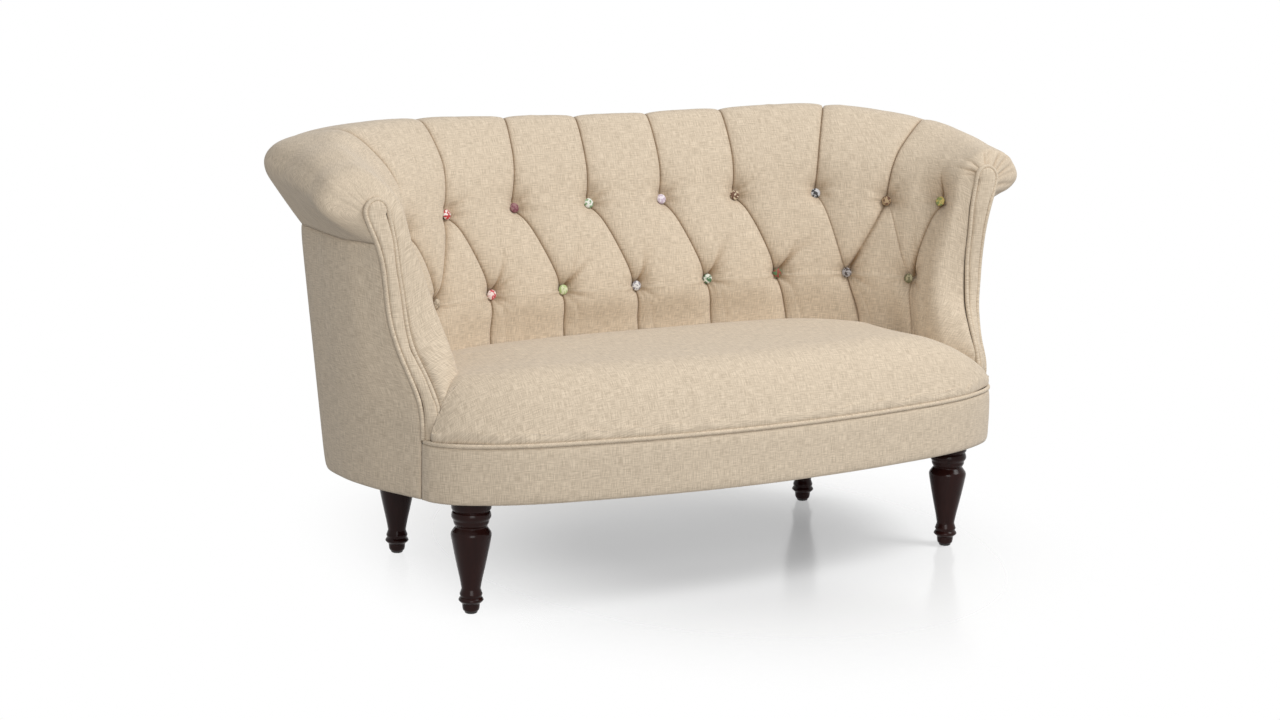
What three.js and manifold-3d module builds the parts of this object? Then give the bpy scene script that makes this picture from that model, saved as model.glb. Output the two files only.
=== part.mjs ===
// High back settee: a two-seat tub settee with a tufted inside back that rolls over arms and back.
// Millimetres, +Z up, front towards -Y, origin on the floor under the middle of the footprint.
import * as THREE from 'three';
import { mergeVertices } from 'three/addons/utils/BufferGeometryUtils.js';
import Module from 'manifold-3d';

const wasm = await Module();
wasm.setup();

// Driving dimensions: half the width and half the depth over the roll, the leg height and the body above it
const halfWidth = 763;
const halfDepth = 343;
const baseHeight = 213.5;
const bodyHeight = 623.5;
const gap = 0.3;
const skin = 4;
const coreDepth = 45;
const coreRise = 46;
const lipDepth = 16;

// Tables of places hold shares of half the width, of half the depth and of the body's height
function placed(shares) {
  return shares.map(([x, y, z = 0]) => [x * halfWidth, y * halfDepth, baseHeight + z * bodyHeight]);
}

function raised(shares) {
  return shares.map((share) => baseHeight + share * bodyHeight);
}

function scaled(size, shares) {
  return shares.map((share) => share * size);
}

// Columns are counted in half button spacings from the middle of the back towards an arm front
const columnStops = [0, 3, 5, 7, 8, 9, 9.6];
const endStop = 10;
const boardStop = 9.7;
const highButtonCount = 10;
const lastButton = highButtonCount - 1;
const columnSteps = 3;
const armStops = [9.35, 9.7, 10];

// Outside wall at its foot and at the underside of the roll, half plan from the middle of the back
const wallFootShares = [
  [0, 0.907], [0.338, 0.901], [0.685, 0.828], [0.861, 0.423], [0.878, 0.131], [0.857, -0.159],
];
const rollJointShares = [
  [0, 0.907, 0.732], [0.336, 0.899, 0.735], [0.682, 0.84, 0.735], [0.915, 0.443, 0.732],
  [0.925, 0.173, 0.727], [0.908, -0.076, 0.718],
];
const wallFoot = placed(wallFootShares);
const rollJoint = placed(rollJointShares);
const frontShare = 0.6;
const wallReach = 1.5;
const wallSetback = 4.5;

// Level lines of the padded inside, from the seat up over the roll, half plan
const seatLineShares = [
  [0, 0.429, 0.328], [0.326, 0.408, 0.328], [0.535, 0.312, 0.325], [0.679, 0.09, 0.312],
  [0.695, -0.076, 0.304], [0.691, -0.213, 0.291], [0.706, -0.379, 0.275],
];
const lowButtonLineShares = [
  [0, 0.379, 0.472], [0.317, 0.37, 0.48], [0.511, 0.306, 0.48], [0.657, 0.117, 0.476],
  [0.7, -0.02, 0.474], [0.712, -0.146, 0.472], [0.729, -0.257, 0.468],
];
const highButtonLineShares = [
  [0, 0.522, 0.737], [0.322, 0.504, 0.737], [0.532, 0.373, 0.737], [0.688, 0.16, 0.716],
  [0.737, 0.05, 0.721], [0.775, -0.07, 0.727], [0.786, -0.213, 0.724],
];
const shoulderLineShares = [
  [0, 0.601, 0.868], [0.324, 0.583, 0.877], [0.557, 0.443, 0.885], [0.734, 0.207, 0.877],
  [0.784, 0.09, 0.872], [0.809, -0.047, 0.86], [0.819, -0.192, 0.843],
];
const crestLineShares = [
  [0, 0.732, 0.986], [0.326, 0.717, 0.992], [0.604, 0.574, 1], [0.822, 0.283, 0.979],
  [0.872, 0.117, 0.953], [0.875, -0.052, 0.926], [0.874, -0.201, 0.902],
];
const rollTopLineShares = [
  [0, 0.86, 0.976], [0.329, 0.848, 0.984], [0.649, 0.729, 0.998], [0.891, 0.417, 0.981],
  [0.933, 0.166, 0.95], [0.936, -0.044, 0.923], [0.928, -0.21, 0.896],
];
const rollBackLineShares = [
  [0, 0.968, 0.934], [0.336, 0.959, 0.941], [0.695, 0.883, 0.958], [0.974, 0.501, 0.942],
  [0.98, 0.204, 0.913], [0.976, -0.044, 0.888], [0.967, -0.216, 0.865],
];
const rollOutLineShares = [
  [0, 1, 0.864], [0.338, 0.985, 0.872], [0.714, 0.95, 0.889], [0.988, 0.522, 0.867],
  [1, 0.216, 0.848], [0.993, -0.052, 0.827], [0.98, -0.219, 0.798],
];
const levelStops = [-2, 0, 3, 5, 6, 7, 8, 9, 10];
const levelLines = [
  seatLineShares, lowButtonLineShares, highButtonLineShares, shoulderLineShares, crestLineShares,
  rollTopLineShares, rollBackLineShares, rollOutLineShares,
].map(placed);

// Rows of the padded inside and where they meet the arm front: heights first, then turns round the head
const padRows = [-3, -2, -1, 0, 1, 2, 3, 4, 5, 6, 7, 8, 9, 10];
const highRow = padRows[6];
const headTurns = [150, 95, 45, 5, -35];
const endMargin = 5;
const coreMargin = 6;
const capSetback = 14;
const boardReach = 33;

// Front edge of the seat, half plan, ending at the side seam
const frontShares = [0, 0.284, 0.569, 0.711, 0.823, 0.906, 0.958, 1];
const frontLineShares = [
  [0, -0.99], [0.249, -0.962], [0.498, -0.889], [0.623, -0.825],
  [0.708, -0.746], [0.764, -0.665], [0.793, -0.577], [0.801, -0.496],
];
const frontLine = placed(frontLineShares);

// Arm front: outer edge, inner edge and depth of each edge against height
const facingHeightShares = [
  0, 0.169, 0.221, 0.267, 0.298, 0.343, 0.389, 0.419,
  0.48, 0.526, 0.572, 0.648, 0.724, 0.793, 0.848,
];
const facingOuterShares = [
  0.801, 0.801, 0.803, 0.802, 0.803, 0.812, 0.822, 0.828,
  0.84, 0.845, 0.849, 0.856, 0.872, 0.896, 0.896,
];
const facingInnerShares = [
  0.776, 0.775, 0.768, 0.768, 0.772, 0.777, 0.787, 0.794,
  0.801, 0.804, 0.808, 0.817, 0.823, 0.837, 0.852,
];
const outerDepthShares = [
  -0.501, -0.507, -0.516, -0.491, -0.452, -0.408, -0.359, -0.338,
  -0.312, -0.3, -0.297, -0.3, -0.297, -0.28, -0.267,
];
const innerDepthShares = [
  -0.554, -0.554, -0.554, -0.536, -0.501, -0.44, -0.376, -0.341,
  -0.312, -0.297, -0.289, -0.28, -0.271, -0.265, -0.265,
];
const facingHeights = raised(facingHeightShares);
const facingOuter = scaled(halfWidth, facingOuterShares);
const facingInner = scaled(halfWidth, facingInnerShares);
const outerDepth = scaled(halfDepth, outerDepthShares);
const innerDepth = scaled(halfDepth, innerDepthShares);
const neckShare = 0.718;
const neckHeight = baseHeight + neckShare * bodyHeight;
const [headOuter, headInner, headSpring] = [facingOuter[13], facingInner[13], facingHeights[13]];
const headRadius = (headOuter - headInner) / 2 + 4 * gap;
const headCentre = [(headOuter + headInner) / 2, headSpring + headRadius / 3];
const facingThickness = 6;
const facingCrown = 3;
const weltRadius = 4;
const weltSides = 6;

// Heights that follow the piping along the seat front
const weltShare = 0.169;
const weltHeight = baseHeight + weltShare * bodyHeight;
const padBottom = weltHeight - weltRadius - 5 * gap;
const endHeights = [padBottom, ...[3, 5, 7, 9, 11, 12, 13].map((k) => facingHeights[k])];
const coreHeights = [facingHeights[8], facingHeights[4], padBottom];

// Tufting: depth of the button hollows, the diamond pleats and the upright pleats row by row
const tuftDepth = 26;
const tuftReach = 25;
const pleatDepth = 12;
const pleatReach = 15;
const [columnShare, rowShare] = [0.105, 0.088];
const columnPitch = columnShare * halfWidth;
const rowPitch = rowShare * bodyHeight;
const rollPleats = [11, 8, 5, 4, 2, 0, 0];
const skirtPleats = [0, 9, 6, 0];
const buttonRadius = 9.8;
const buttonRim = 2.2;
const buttonDome = 6.4;
const buttonSides = 12;

// Seat
const webThickness = 1.5;
const webOverlap = 0.2;
const webWidth = 50;
const seatBottom = padBottom - weltRadius;
const webHeight = seatBottom - gap - 2 * webThickness + webOverlap;
const railTop = webHeight - gap;
const seatMargin = 1.8;
const seatEdge = 4.6;
const seatTopShare = 0.3585;
const seatTop = baseHeight + seatTopShare * bodyHeight;
const seatShares = [0.985, 0.95, 0.89, 0.78, 0.6, 0.35];
const crownPower = 8;
const seatCentreShare = -0.204;
const seatCentre = [0, seatCentreShare * halfDepth];

// Frame
const railInset = skin + 3 * gap;
const railThickness = 26;
const railLip = 2.5;
const railBottom = baseHeight + railLip;
const rimSteps = 720;
const rimDivisions = 150;
const rimMerge = 0.001;

// Legs from the foot up to the plate and its bolt: shares of the largest radius and of the height
const legRadius = 36.4;
const glideRadius = 11.5;
const glideTop = 4.1;
const legFoot = glideTop + gap;
const legTop = baseHeight + 7 * gap;
const legShares = [
  [0.346, 0], [0.401, 0.012], [0.429, 0.036], [0.437, 0.064], [0.522, 0.077], [0.615, 0.096],
  [0.577, 0.114], [0.516, 0.124], [0.56, 0.148], [0.527, 0.167], [0.47, 0.195], [0.566, 0.287],
  [0.692, 0.386], [0.83, 0.5], [0.945, 0.604], [1, 0.666], [0.967, 0.691], [0.769, 0.739],
  [0.863, 0.768], [0.879, 0.794], [0.978, 0.825], [0.951, 0.858], [0.887, 0.876], [0.984, 0.901],
  [0.989, 1],
];
const legProfile = legShares.map(([radius, height]) => (
  [radius * legRadius, legFoot + height * (legTop - legFoot)]));
const boltRadius = 4;
const boltLength = 46.4;
const boltTop = legTop + boltLength;
const legSides = 18;

function paint(colour, roughness) {
  return new THREE.MeshStandardMaterial({ color: colour, roughness, metalness: 0 });
}

const linen = paint('#cdbb9d', 0.92);
const darkWood = paint('#2a1512', 0.28);
const glideBlack = paint('#17120f', 0.5);
const frameWood = paint('#c7a475', 0.75);
const jute = paint('#a98a5d', 0.95);
const cambric = paint('#1d1d1f', 0.95);
const [plum, red, pale] = [paint('#6d4450', 0.8), paint('#a8453f', 0.8), paint('#d9d3cf', 0.8)];
const [tan, dark, green] = [paint('#a07f58', 0.8), paint('#3f3732', 0.8), paint('#92a06f', 0.8)];
const highPrints = [plum, pale, red, plum, pale, pale, tan, dark, tan, green];
const lowPrints = [tan, green, red, green, pale, green, red, dark, green];

const settee = new THREE.Group();
settee.name = 'high_back_settee';

function geometryOf(points, faces) {
  // Faces turned outward, whichever way they were listed
  const corners = faces.map((face) => face.map((i) => new THREE.Vector3().fromArray(points[i])));
  const volume = corners.reduce((sum, [a, b, c]) => sum + a.dot(b.clone().cross(c)), 0);
  const ordered = volume < 0 ? faces.map(([p, q, r]) => [p, r, q]) : faces;
  const geometry = new THREE.BufferGeometry();
  geometry.setAttribute('position', new THREE.Float32BufferAttribute(points.flat(), 3));
  geometry.setIndex(ordered.flat());
  geometry.computeVertexNormals();
  return geometry;
}

function welded(source) {
  // The same body with its shared corners joined and its empty facets left out
  source.deleteAttribute('normal');
  source.deleteAttribute('uv');
  const merged = mergeVertices(source, gap / rimSteps);
  const places = merged.attributes.position;
  const pointOf = (_, i) => [places.getX(i), places.getY(i), places.getZ(i)];
  const points = Array.from({ length: places.count }, pointOf);
  const corners = Array.from(merged.index.array);
  const faces = [];
  for (let i = 0; i < corners.length; i += 3) {
    const face = corners.slice(i, i + 3);
    if (new Set(face).size === 3) faces.push(face);
  }
  return geometryOf(points, faces);
}

function add(name, geometry, material) {
  const mesh = new THREE.Mesh(geometry, material);
  mesh.name = name;
  settee.add(mesh);
}

function smooth(stops, rows, at) {
  // A smooth line through hand-placed rows at uneven stops
  const last = stops.length - 1;
  let i = 0;
  while (i < last - 1 && at > stops[i + 1]) i += 1;
  const span = stops[i + 1] - stops[i];
  const t = (at - stops[i]) / span;
  return rows[i].map((start, k) => {
    const rise = rows[i + 1][k] - start;
    const slope = rise / span;
    const before = i > 0 ? (start + rise - rows[i - 1][k]) / (stops[i + 1] - stops[i - 1]) : slope;
    const after = i + 1 < last ? (rows[i + 2][k] - start) / (stops[i + 2] - stops[i]) : slope;
    const drift = (1 - t) * (before * span - rise) + t * (rise - after * span);
    return start + t * rise + t * (1 - t) * drift;
  });
}

function flip(point) {
  return point.map((value, k) => (k === 0 ? -value : value));
}

function halfLine(stops, rows, at) {
  // A line over both halves of the plan; its first stop lies on the middle plane
  const point = smooth([-stops[1], ...stops], [flip(rows[1]), ...rows], Math.abs(at));
  return at < 0 ? flip(point) : point;
}

function edgeAt(values, height) {
  // Straight between the hand-placed heights of the arm front
  const last = facingHeights.length - 1;
  let i = 0;
  while (i < last - 1 && height > facingHeights[i + 1]) i += 1;
  const share = (height - facingHeights[i]) / (facingHeights[i + 1] - facingHeights[i]);
  return values[i] + share * (values[i + 1] - values[i]);
}

function faceY(x, height) {
  // Depth of the arm front between its inner and its outer edge
  const inner = edgeAt(facingInner, height);
  const share = (x - inner) / (edgeAt(facingOuter, height) - inner);
  const depth = edgeAt(innerDepth, height);
  return depth + Math.min(Math.max(share, 0), 1) * (edgeAt(outerDepth, height) - depth);
}

function mix(from, to, share) {
  return from.map((value, k) => value + (to[k] - value) * share);
}

function inward(line, at, distance) {
  // A point of a plan line moved square towards the inside of the tub
  const step = 1 / rimSteps;
  const [here, before, after] = [line(at), line(at - step), line(at + step)];
  const [dx, dy] = [after[0] - before[0], after[1] - before[1]];
  const length = Math.hypot(dx, dy);
  return [here[0] + (dy / length) * distance, here[1] - (dx / length) * distance, here[2]];
}

function grid(rows, closedRows, caps) {
  // One body from rows of points; each row is a closed ring and the first and last rows are capped
  const size = rows[0].length;
  const faces = [];
  for (let i = 0; i + 1 < rows.length; i += 1) {
    for (let j = 0; j < size; j += 1) {
      const k = (j + 1) % size;
      const [a, b, c, d] = [i * size + j, i * size + k, (i + 1) * size + k, (i + 1) * size + j];
      const other = closedRows(i, j);
      faces.push(...(other ? [[a, b, d], [b, c, d]] : [[a, b, c], [a, c, d]]));
    }
  }
  const start = (rows.length - 1) * size;
  for (const [p, q, r] of caps) faces.push([p, r, q], [start + p, start + q, start + r]);
  return geometryOf(rows.flat(), faces);
}

function turnOf([a, b, c]) {
  return Math.sign((b[0] - a[0]) * (c[1] - a[1]) - (b[1] - a[1]) * (c[0] - a[0]));
}

function capOf(outline) {
  // Triangles over a nearly flat outline given in two measures, turned the way the outline runs
  const contour = outline.map(([u, v]) => new THREE.Vector2(u, v));
  const way = Math.sign(THREE.ShapeUtils.area(contour));
  const faces = THREE.ShapeUtils.triangulateShape(contour, []);
  return faces.map(([p, q, r]) => (turnOf([p, q, r].map((k) => outline[k])) === way ? [p, q, r] : [p, r, q]));
}

function loft(rows) {
  return grid(rows, () => false, capOf(ringPlane(rows[0])));
}

function ringPlane(ring) {
  // The ring seen along the axis in which it is thinnest
  const spread = [0, 1, 2].map((k) => {
    const values = ring.map((point) => point[k]);
    return Math.max(...values) - Math.min(...values);
  });
  const thin = spread.indexOf(Math.min(...spread));
  const [u, v] = [0, 1, 2].filter((k) => k !== thin);
  return ring.map((point) => [point[u], point[v]]);
}

// Outside wall: flares outward from the foot to the roll; its front edge follows the arm front
function wallEnd(height) {
  return [edgeAt(facingOuter, height) + wallReach, edgeAt(outerDepth, height) + wallSetback, height];
}

function wallColumns(share) {
  // Plan line of the wall at a share of its height: its last stretch runs straight to the arm front
  const rows = wallFoot.map((foot, k) => mix(foot, rollJoint[k], share));
  const end = wallEnd(baseHeight + share * (neckHeight - baseHeight));
  return [...rows, mix(rows[rows.length - 1], end, frontShare), end];
}

function wallAt(at, share) {
  return halfLine([...columnStops, endStop], wallColumns(share), at);
}

function wallShare(height) {
  return (height - baseHeight) / (neckHeight - baseHeight);
}

// Padded inside: one body from the seat up, over the roll and back round the frame
function endPoint(rowIndex) {
  // Where a row of the padding meets the arm front
  if (rowIndex < endHeights.length) {
    const height = endHeights[rowIndex];
    const x = edgeAt(facingInner, height);
    return [x - endMargin, faceY(x, height) + coreMargin, height];
  }
  const turn = headTurns[rowIndex - endHeights.length];
  if (turn === undefined) {
    const x = edgeAt(facingOuter, neckHeight);
    return [x + endMargin, faceY(x, neckHeight) + coreMargin, neckHeight];
  }
  const angle = THREE.MathUtils.degToRad(turn);
  const reach = headRadius + endMargin;
  const x = headCentre[0] + reach * Math.cos(angle);
  return [x, edgeAt(innerDepth, headCentre[1]) + coreMargin, headCentre[1] + reach * Math.sin(angle)];
}

const rowLines = padRows.map((row, rowIndex) => {
  const stops = columnStops.map((_, k) => {
    const levels = [...levelLines, wallColumns(1)].map((line) => line[k]);
    if (row > levelStops[0]) return smooth(levelStops, levels, row);
    return row < levelStops[0] ? [levels[0][0], levels[0][1], padBottom] : levels[0];
  });
  return [...stops, endPoint(rowIndex)];
});

function padAt(at, rowIndex) {
  return halfLine([...columnStops, endStop], rowLines[rowIndex], at);
}

function padNormal(at, rowIndex) {
  // Square to the undimpled padding, pointing out of it
  const step = 1 / columnSteps;
  const [low, high] = [Math.max(rowIndex - 1, 0), Math.min(rowIndex + 1, padRows.length - 1)];
  const along = new THREE.Vector3().fromArray(padAt(at + step, rowIndex));
  along.sub(new THREE.Vector3().fromArray(padAt(at - step, rowIndex)));
  const up = new THREE.Vector3().fromArray(padAt(at, high));
  up.sub(new THREE.Vector3().fromArray(padAt(at, low)));
  return along.cross(up).normalize();
}

function fade(distance, reach) {
  return Math.exp(-((distance / reach) ** 2));
}

function dimple(at, rowIndex) {
  // Depth of the sewn tufts and pleats under the crown of the padding
  const row = padRows[rowIndex];
  const place = Math.abs(at);
  const lowColumn = 2 * Math.round(place / 2);
  const highColumn = Math.min(2 * Math.floor(place / 2) + 1, lastButton);
  const toLow = (place - lowColumn) * columnPitch;
  const toHigh = (place - highColumn) * columnPitch;
  if (row < 0) return skirtPleats[-row] * (place < lastButton ? fade(toLow, pleatReach) : 0);
  if (row > highRow) return rollPleats[row - highRow - 1] * fade(toHigh, pleatReach);
  const low = tuftDepth * fade(Math.hypot(toLow, row * rowPitch), tuftReach);
  const high = tuftDepth * fade(Math.hypot(toHigh, (highRow - row) * rowPitch), tuftReach);
  if (place > lastButton) return high;
  const slant = highColumn + (lowColumn - highColumn) * (1 - row / highRow) - place;
  return Math.max(low, high, pleatDepth * fade(slant * columnPitch, pleatReach));
}

const coreOuterShares = [0.58, 0.33];
const coreInnerShares = [-0.7, 0.1];

function corePoint([across, up]) {
  // A corner of the hollow side within the scroll of the arm front
  return [headCentre[0] + across * headRadius, headCentre[1] + up * headRadius];
}

function coreRing(at) {
  // The hollow side of the padding, round the frame, from the roll joint down to the seat
  if (Math.abs(at) < boardStop) {
    const joint = (x) => wallAt(x, 1);
    const [lip, back] = [inward(joint, at, lipDepth), inward(joint, at, coreDepth)];
    const sides = coreHeights.map((height) => {
      const [x, y] = inward((stop) => wallAt(stop, wallShare(height)), at, coreDepth);
      return [x, y, height];
    });
    const rise = lip[2] + coreRise;
    return [lip, [lip[0], lip[1], rise], [back[0], back[1], rise], ...sides];
  }
  const back = Math.abs(at) < endStop ? boardReach : capSetback;
  const corners = [
    [edgeAt(facingOuter, neckHeight) - coreMargin, neckHeight],
    corePoint(coreOuterShares),
    corePoint(coreInnerShares),
    ...coreHeights.map((height) => [edgeAt(facingInner, height) + coreMargin, height]),
  ];
  const ring = corners.map(([x, height]) => [x, faceY(x, height) + back, height]);
  return at < 0 ? ring.map(flip) : ring;
}

const buttonStopCount = 2 * lastButton * columnSteps + 1;
const buttonStops = Array.from({ length: buttonStopCount }, (_, i) => i / columnSteps - lastButton);
const padStops = [...armStops.map((stop) => -stop).reverse(), ...buttonStops, ...armStops];

const padRings = padStops.map((at) => {
  const outside = padRows.map((_, rowIndex) => {
    const normal = padNormal(at, rowIndex);
    const depth = Math.abs(at) < endStop ? dimple(at, rowIndex) : 0;
    return padAt(at, rowIndex).map((value, k) => value - normal.getComponent(k) * depth);
  });
  return [...outside, ...coreRing(at)];
});

function followsPleat(i, j) {
  // Splits each facet along the pleat that crosses it
  const at = padStops[i];
  const row = padRows[j];
  if (row === undefined || row < 0 || row >= highRow || Math.abs(at) > lastButton) return false;
  return Math.floor(at + 1 / rimSteps) % 2 !== 0;
}

function stripCap(ring, split) {
  // Closes an end between its outer points and its hollow side, always along the shorter diagonal
  const points = ring.map((point) => new THREE.Vector3().fromArray(point));
  const faces = [];
  let [i, j] = [0, ring.length - 1];
  while (i + 1 < split || j > split) {
    const ahead = i + 1 < split ? points[i + 1].distanceTo(points[j]) : Infinity;
    const behind = j > split ? points[j - 1].distanceTo(points[i]) : Infinity;
    if (ahead < behind) {
      faces.push([i, i + 1, j]);
      i += 1;
    } else {
      faces.push([i, j - 1, j]);
      j -= 1;
    }
  }
  return faces;
}

add('tufted_inside', grid(padRings, followsPleat, stripCap(padRings[0], padRows.length)), linen);

// Buttons: covered domes drawn down into the hollows
function turned(profile, sides) {
  const lathe = new THREE.LatheGeometry(profile.map(([r, h]) => new THREE.Vector2(r, h)), sides);
  lathe.rotateX(Math.PI / 2);
  return welded(lathe);
}

function seatOfButton(centre, normal, around) {
  // Height at which the rim of a button just clears the hollow it sits in
  const side = new THREE.Vector3(normal.z, normal.x, normal.y).cross(normal).normalize();
  const other = normal.clone().cross(side);
  const spokes = around.map((point) => {
    const offset = point.clone().sub(centre);
    return [offset.dot(side), offset.dot(other), offset.dot(normal)];
  });
  let height = 0;
  for (let i = 0; i < buttonSides; i += 1) {
    const angle = (2 * Math.PI * i) / buttonSides;
    const [u, v] = [buttonRadius * Math.cos(angle), buttonRadius * Math.sin(angle)];
    for (let j = 0; j < spokes.length; j += 1) {
      const [p, q] = [spokes[j], spokes[(j + 1) % spokes.length]];
      const area = p[0] * q[1] - p[1] * q[0];
      const [s, t] = [(u * q[1] - v * q[0]) / area, (p[0] * v - p[1] * u) / area];
      if (s >= 0 && t >= 0) height = Math.max(height, s * p[2] + t * q[2]);
    }
  }
  return height + gap;
}

function addButton(name, at, rowIndex, print) {
  const i = padStops.findIndex((stop) => Math.abs(stop - at) < 1 / rimSteps);
  const ringTurns = [[1, 0], [1, 1], [0, 1], [-1, 1], [-1, 0], [-1, -1], [0, -1], [1, -1]];
  const around = ringTurns.map(([di, dj]) => new THREE.Vector3().fromArray(padRings[i + di][rowIndex + dj]));
  const centre = new THREE.Vector3().fromArray(padRings[i][rowIndex]);
  const normal = padNormal(at, rowIndex);
  const profile = [
    [0, 0], [buttonRadius * 0.92, 0], [buttonRadius, buttonRim / 2], [buttonRadius * 0.9, buttonRim * 1.6],
    [buttonRadius * 0.55, buttonDome * 0.88], [0, buttonDome],
  ];
  const button = turned(profile, buttonSides);
  const turn = new THREE.Quaternion().setFromUnitVectors(new THREE.Vector3(0, 0, 1), normal);
  button.applyQuaternion(turn);
  const place = centre.addScaledVector(normal, seatOfButton(centre, normal, around));
  button.translate(place.x, place.y, place.z);
  add(name, button, print);
}

highPrints.forEach((print, k) => {
  addButton(`button_top_${k + 1}`, 2 * k - lastButton, padRows.indexOf(highRow), print);
});
lowPrints.forEach((print, k) => {
  addButton(`button_low_${k + 1}`, 2 * k + 1 - lastButton, padRows.indexOf(0), print);
});

// Outside panels: linen over card, from seam to seam
const seamStop = 17 / columnSteps;
const seamHalf = 0.003;
const panelTop = 1 - gap / (neckHeight - baseHeight);
const armShares = facingHeights.filter((height) => height < neckHeight).map(wallShare);

function panel(stops, shares) {
  const faces = [0, skin].map((depth) => shares.map((share) => {
    const line = (at) => wallAt(at, share);
    return stops.map((at) => (depth ? inward(line, at, depth) : line(at)));
  }));
  const rings = stops.map((_, i) => [
    ...faces[0].map((row) => row[i]), ...faces[1].map((row) => row[i]).reverse(),
  ]);
  const cap = [];
  const count = shares.length;
  for (let j = 0; j + 1 < count; j += 1) {
    const k = 2 * count - 1 - j;
    cap.push([j, j + 1, k], [j + 1, k - 1, k]);
  }
  return grid(rings, () => false, cap);
}

function spread(from, to, steps) {
  return Array.from({ length: steps + 1 }, (_, i) => from + ((to - from) * i) / steps);
}

const sideStops = [seamStop + seamHalf, ...padStops.filter((stop) => stop > seamStop + 2 * seamHalf)];
const backInner = padStops.filter((stop) => Math.abs(stop) < seamStop - 2 * seamHalf);
const backStops = [seamHalf - seamStop, ...backInner, seamStop - seamHalf];
add('outside_arm_right', panel(sideStops, [...armShares, panelTop]), linen);
add('outside_arm_left', panel(sideStops.map((stop) => -stop).reverse(), [...armShares, panelTop]), linen);
add('outside_back', panel(backStops, [0, panelTop / 2, panelTop]), linen);

// Plan of the seat frame: the bowed front and the foot of the wall as one closed line
function frontAt(at) {
  return halfLine(frontShares, frontLine, at);
}

const [frontSteps, wallSteps] = [48, 72];
const frontRim = spread(-1, 1, frontSteps).map(frontAt);
const wallRim = spread(endStop, -endStop, wallSteps).map((at) => wallAt(at, 0)).slice(1, -1);
const rimPoints = [...frontRim, ...wallRim].map(([x, y]) => new THREE.Vector2(x, y));
const rimLengths = [0];
rimPoints.forEach((point, i) => {
  rimLengths.push(rimLengths[i] + point.distanceTo(rimPoints[(i + 1) % rimPoints.length]));
});
const rimLength = rimLengths[rimPoints.length];
const seamShare = rimLengths[frontRim.length - 1] / rimLength;
const frontMiddle = seamShare / 2;

function rimAt(share, inset) {
  // A point round the seat frame, counted from the left seam along the front, moved inside by an inset
  const travel = (((share % 1) + 1) % 1) * rimLength;
  let i = 0;
  while (rimLengths[i + 1] < travel) i += 1;
  const [start, end] = [rimPoints[i], rimPoints[(i + 1) % rimPoints.length]];
  const t = (travel - rimLengths[i]) / (rimLengths[i + 1] - rimLengths[i]);
  const way = end.clone().sub(start).normalize();
  return [start.x + t * (end.x - start.x) - way.y * inset, start.y + t * (end.y - start.y) + way.x * inset];
}

function rimSmooth(share, inset) {
  // The same, with the direction taken over a short length so that offset corners stay even
  const step = railThickness / rimLength;
  const [before, after, here] = [rimAt(share - step, 0), rimAt(share + step, 0), rimAt(share, 0)];
  const [dx, dy] = [after[0] - before[0], after[1] - before[1]];
  const length = Math.hypot(dx, dy);
  return [here[0] - (dy / length) * inset, here[1] + (dx / length) * inset];
}

function rimStops(from, to) {
  // The ends and the common stops between them, so that neighbours round the frame share their bends
  const inner = spread(-1, 1, 2 * rimDivisions).map((share) => frontMiddle + share);
  return [from, ...inner.filter((share) => share > from + rimMerge && share < to - rimMerge), to];
}

function onStop(share) {
  // The nearest of the common stops
  return frontMiddle + Math.round((share - frontMiddle) * rimDivisions) / rimDivisions;
}

function rimStrip(from, to, insets, heights) {
  const rows = rimStops(from, to).map((share) => {
    const [outer, inner] = insets.map((inset) => rimSmooth(share, inset));
    return [
      [...outer, heights[0]], [...inner, heights[0]], [...inner, heights[1]], [...outer, heights[1]],
    ];
  });
  return grid(rows, () => false, [[0, 1, 2], [0, 2, 3]]);
}

function shareNear(x, y) {
  const tries = spread(0, 1, rimSteps);
  return tries.reduce((best, share) => {
    const [a, b] = [rimAt(share, 0), rimAt(best, 0)];
    return Math.hypot(a[0] - x, a[1] - y) < Math.hypot(b[0] - x, b[1] - y) ? share : best;
  }, 0);
}

const seamGap = gap / rimLength;
const borderTop = weltHeight - weltRadius - gap;
add('front_border', rimStrip(seamGap, seamShare - seamGap, [0, skin], [baseHeight, borderTop]), linen);

// Seat rails under the covers, butted at the corners
const rails = [railInset, railInset + railThickness];
const railCornerShares = [[0.793, -0.577], [0.73, 0.764]];
const [cornerRight, backRight] = placed(railCornerShares).map(([x, y]) => onStop(shareNear(x, y)));
const mirrorShare = (share) => seamShare - share;
const railEnds = [
  ['seat_rail_front', mirrorShare(cornerRight), cornerRight],
  ['seat_rail_right', cornerRight, backRight],
  ['seat_rail_back', backRight, 1 + mirrorShare(backRight)],
  ['seat_rail_left', 1 + mirrorShare(backRight), 1 + mirrorShare(cornerRight)],
];
for (const [name, from, to] of railEnds) {
  add(name, rimStrip(from + seamGap, to - seamGap, rails, [railBottom, railTop]), frameWood);
}

// Corner blocks that take the leg bolts, and the brace across the middle
const [frontLegShare, backLegShare] = [0.9287, 0.2705];
const [frontLegClear, backLegClear] = [31.6, 14.6];
const legPlaces = [
  rimSmooth(frontLegShare * seamShare, legRadius + frontLegClear),
  rimSmooth(seamShare + backLegShare * (1 - seamShare), legRadius + backLegClear),
];
const blockSteps = 2;
const blockDepth = 78;
const blockTop = railTop - 4 * boltRadius;
const blockTaper = 0.45;
const holeRadius = boltRadius + gap;

function plate(outline, holes, bottom, top) {
  const shape = new THREE.Shape(outline.map(([x, y]) => new THREE.Vector2(x, y)));
  for (const [x, y, radius, sides] of holes) {
    const rim = spread(0, 2 * Math.PI, sides).slice(1);
    shape.holes.push(new THREE.Path(rim.map((angle) => (
      new THREE.Vector2(x + radius * Math.cos(angle), y + radius * Math.sin(angle))))));
  }
  const body = new THREE.ExtrudeGeometry(shape, { depth: top - bottom, bevelEnabled: false });
  body.translate(0, 0, bottom);
  return welded(body);
}

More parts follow.
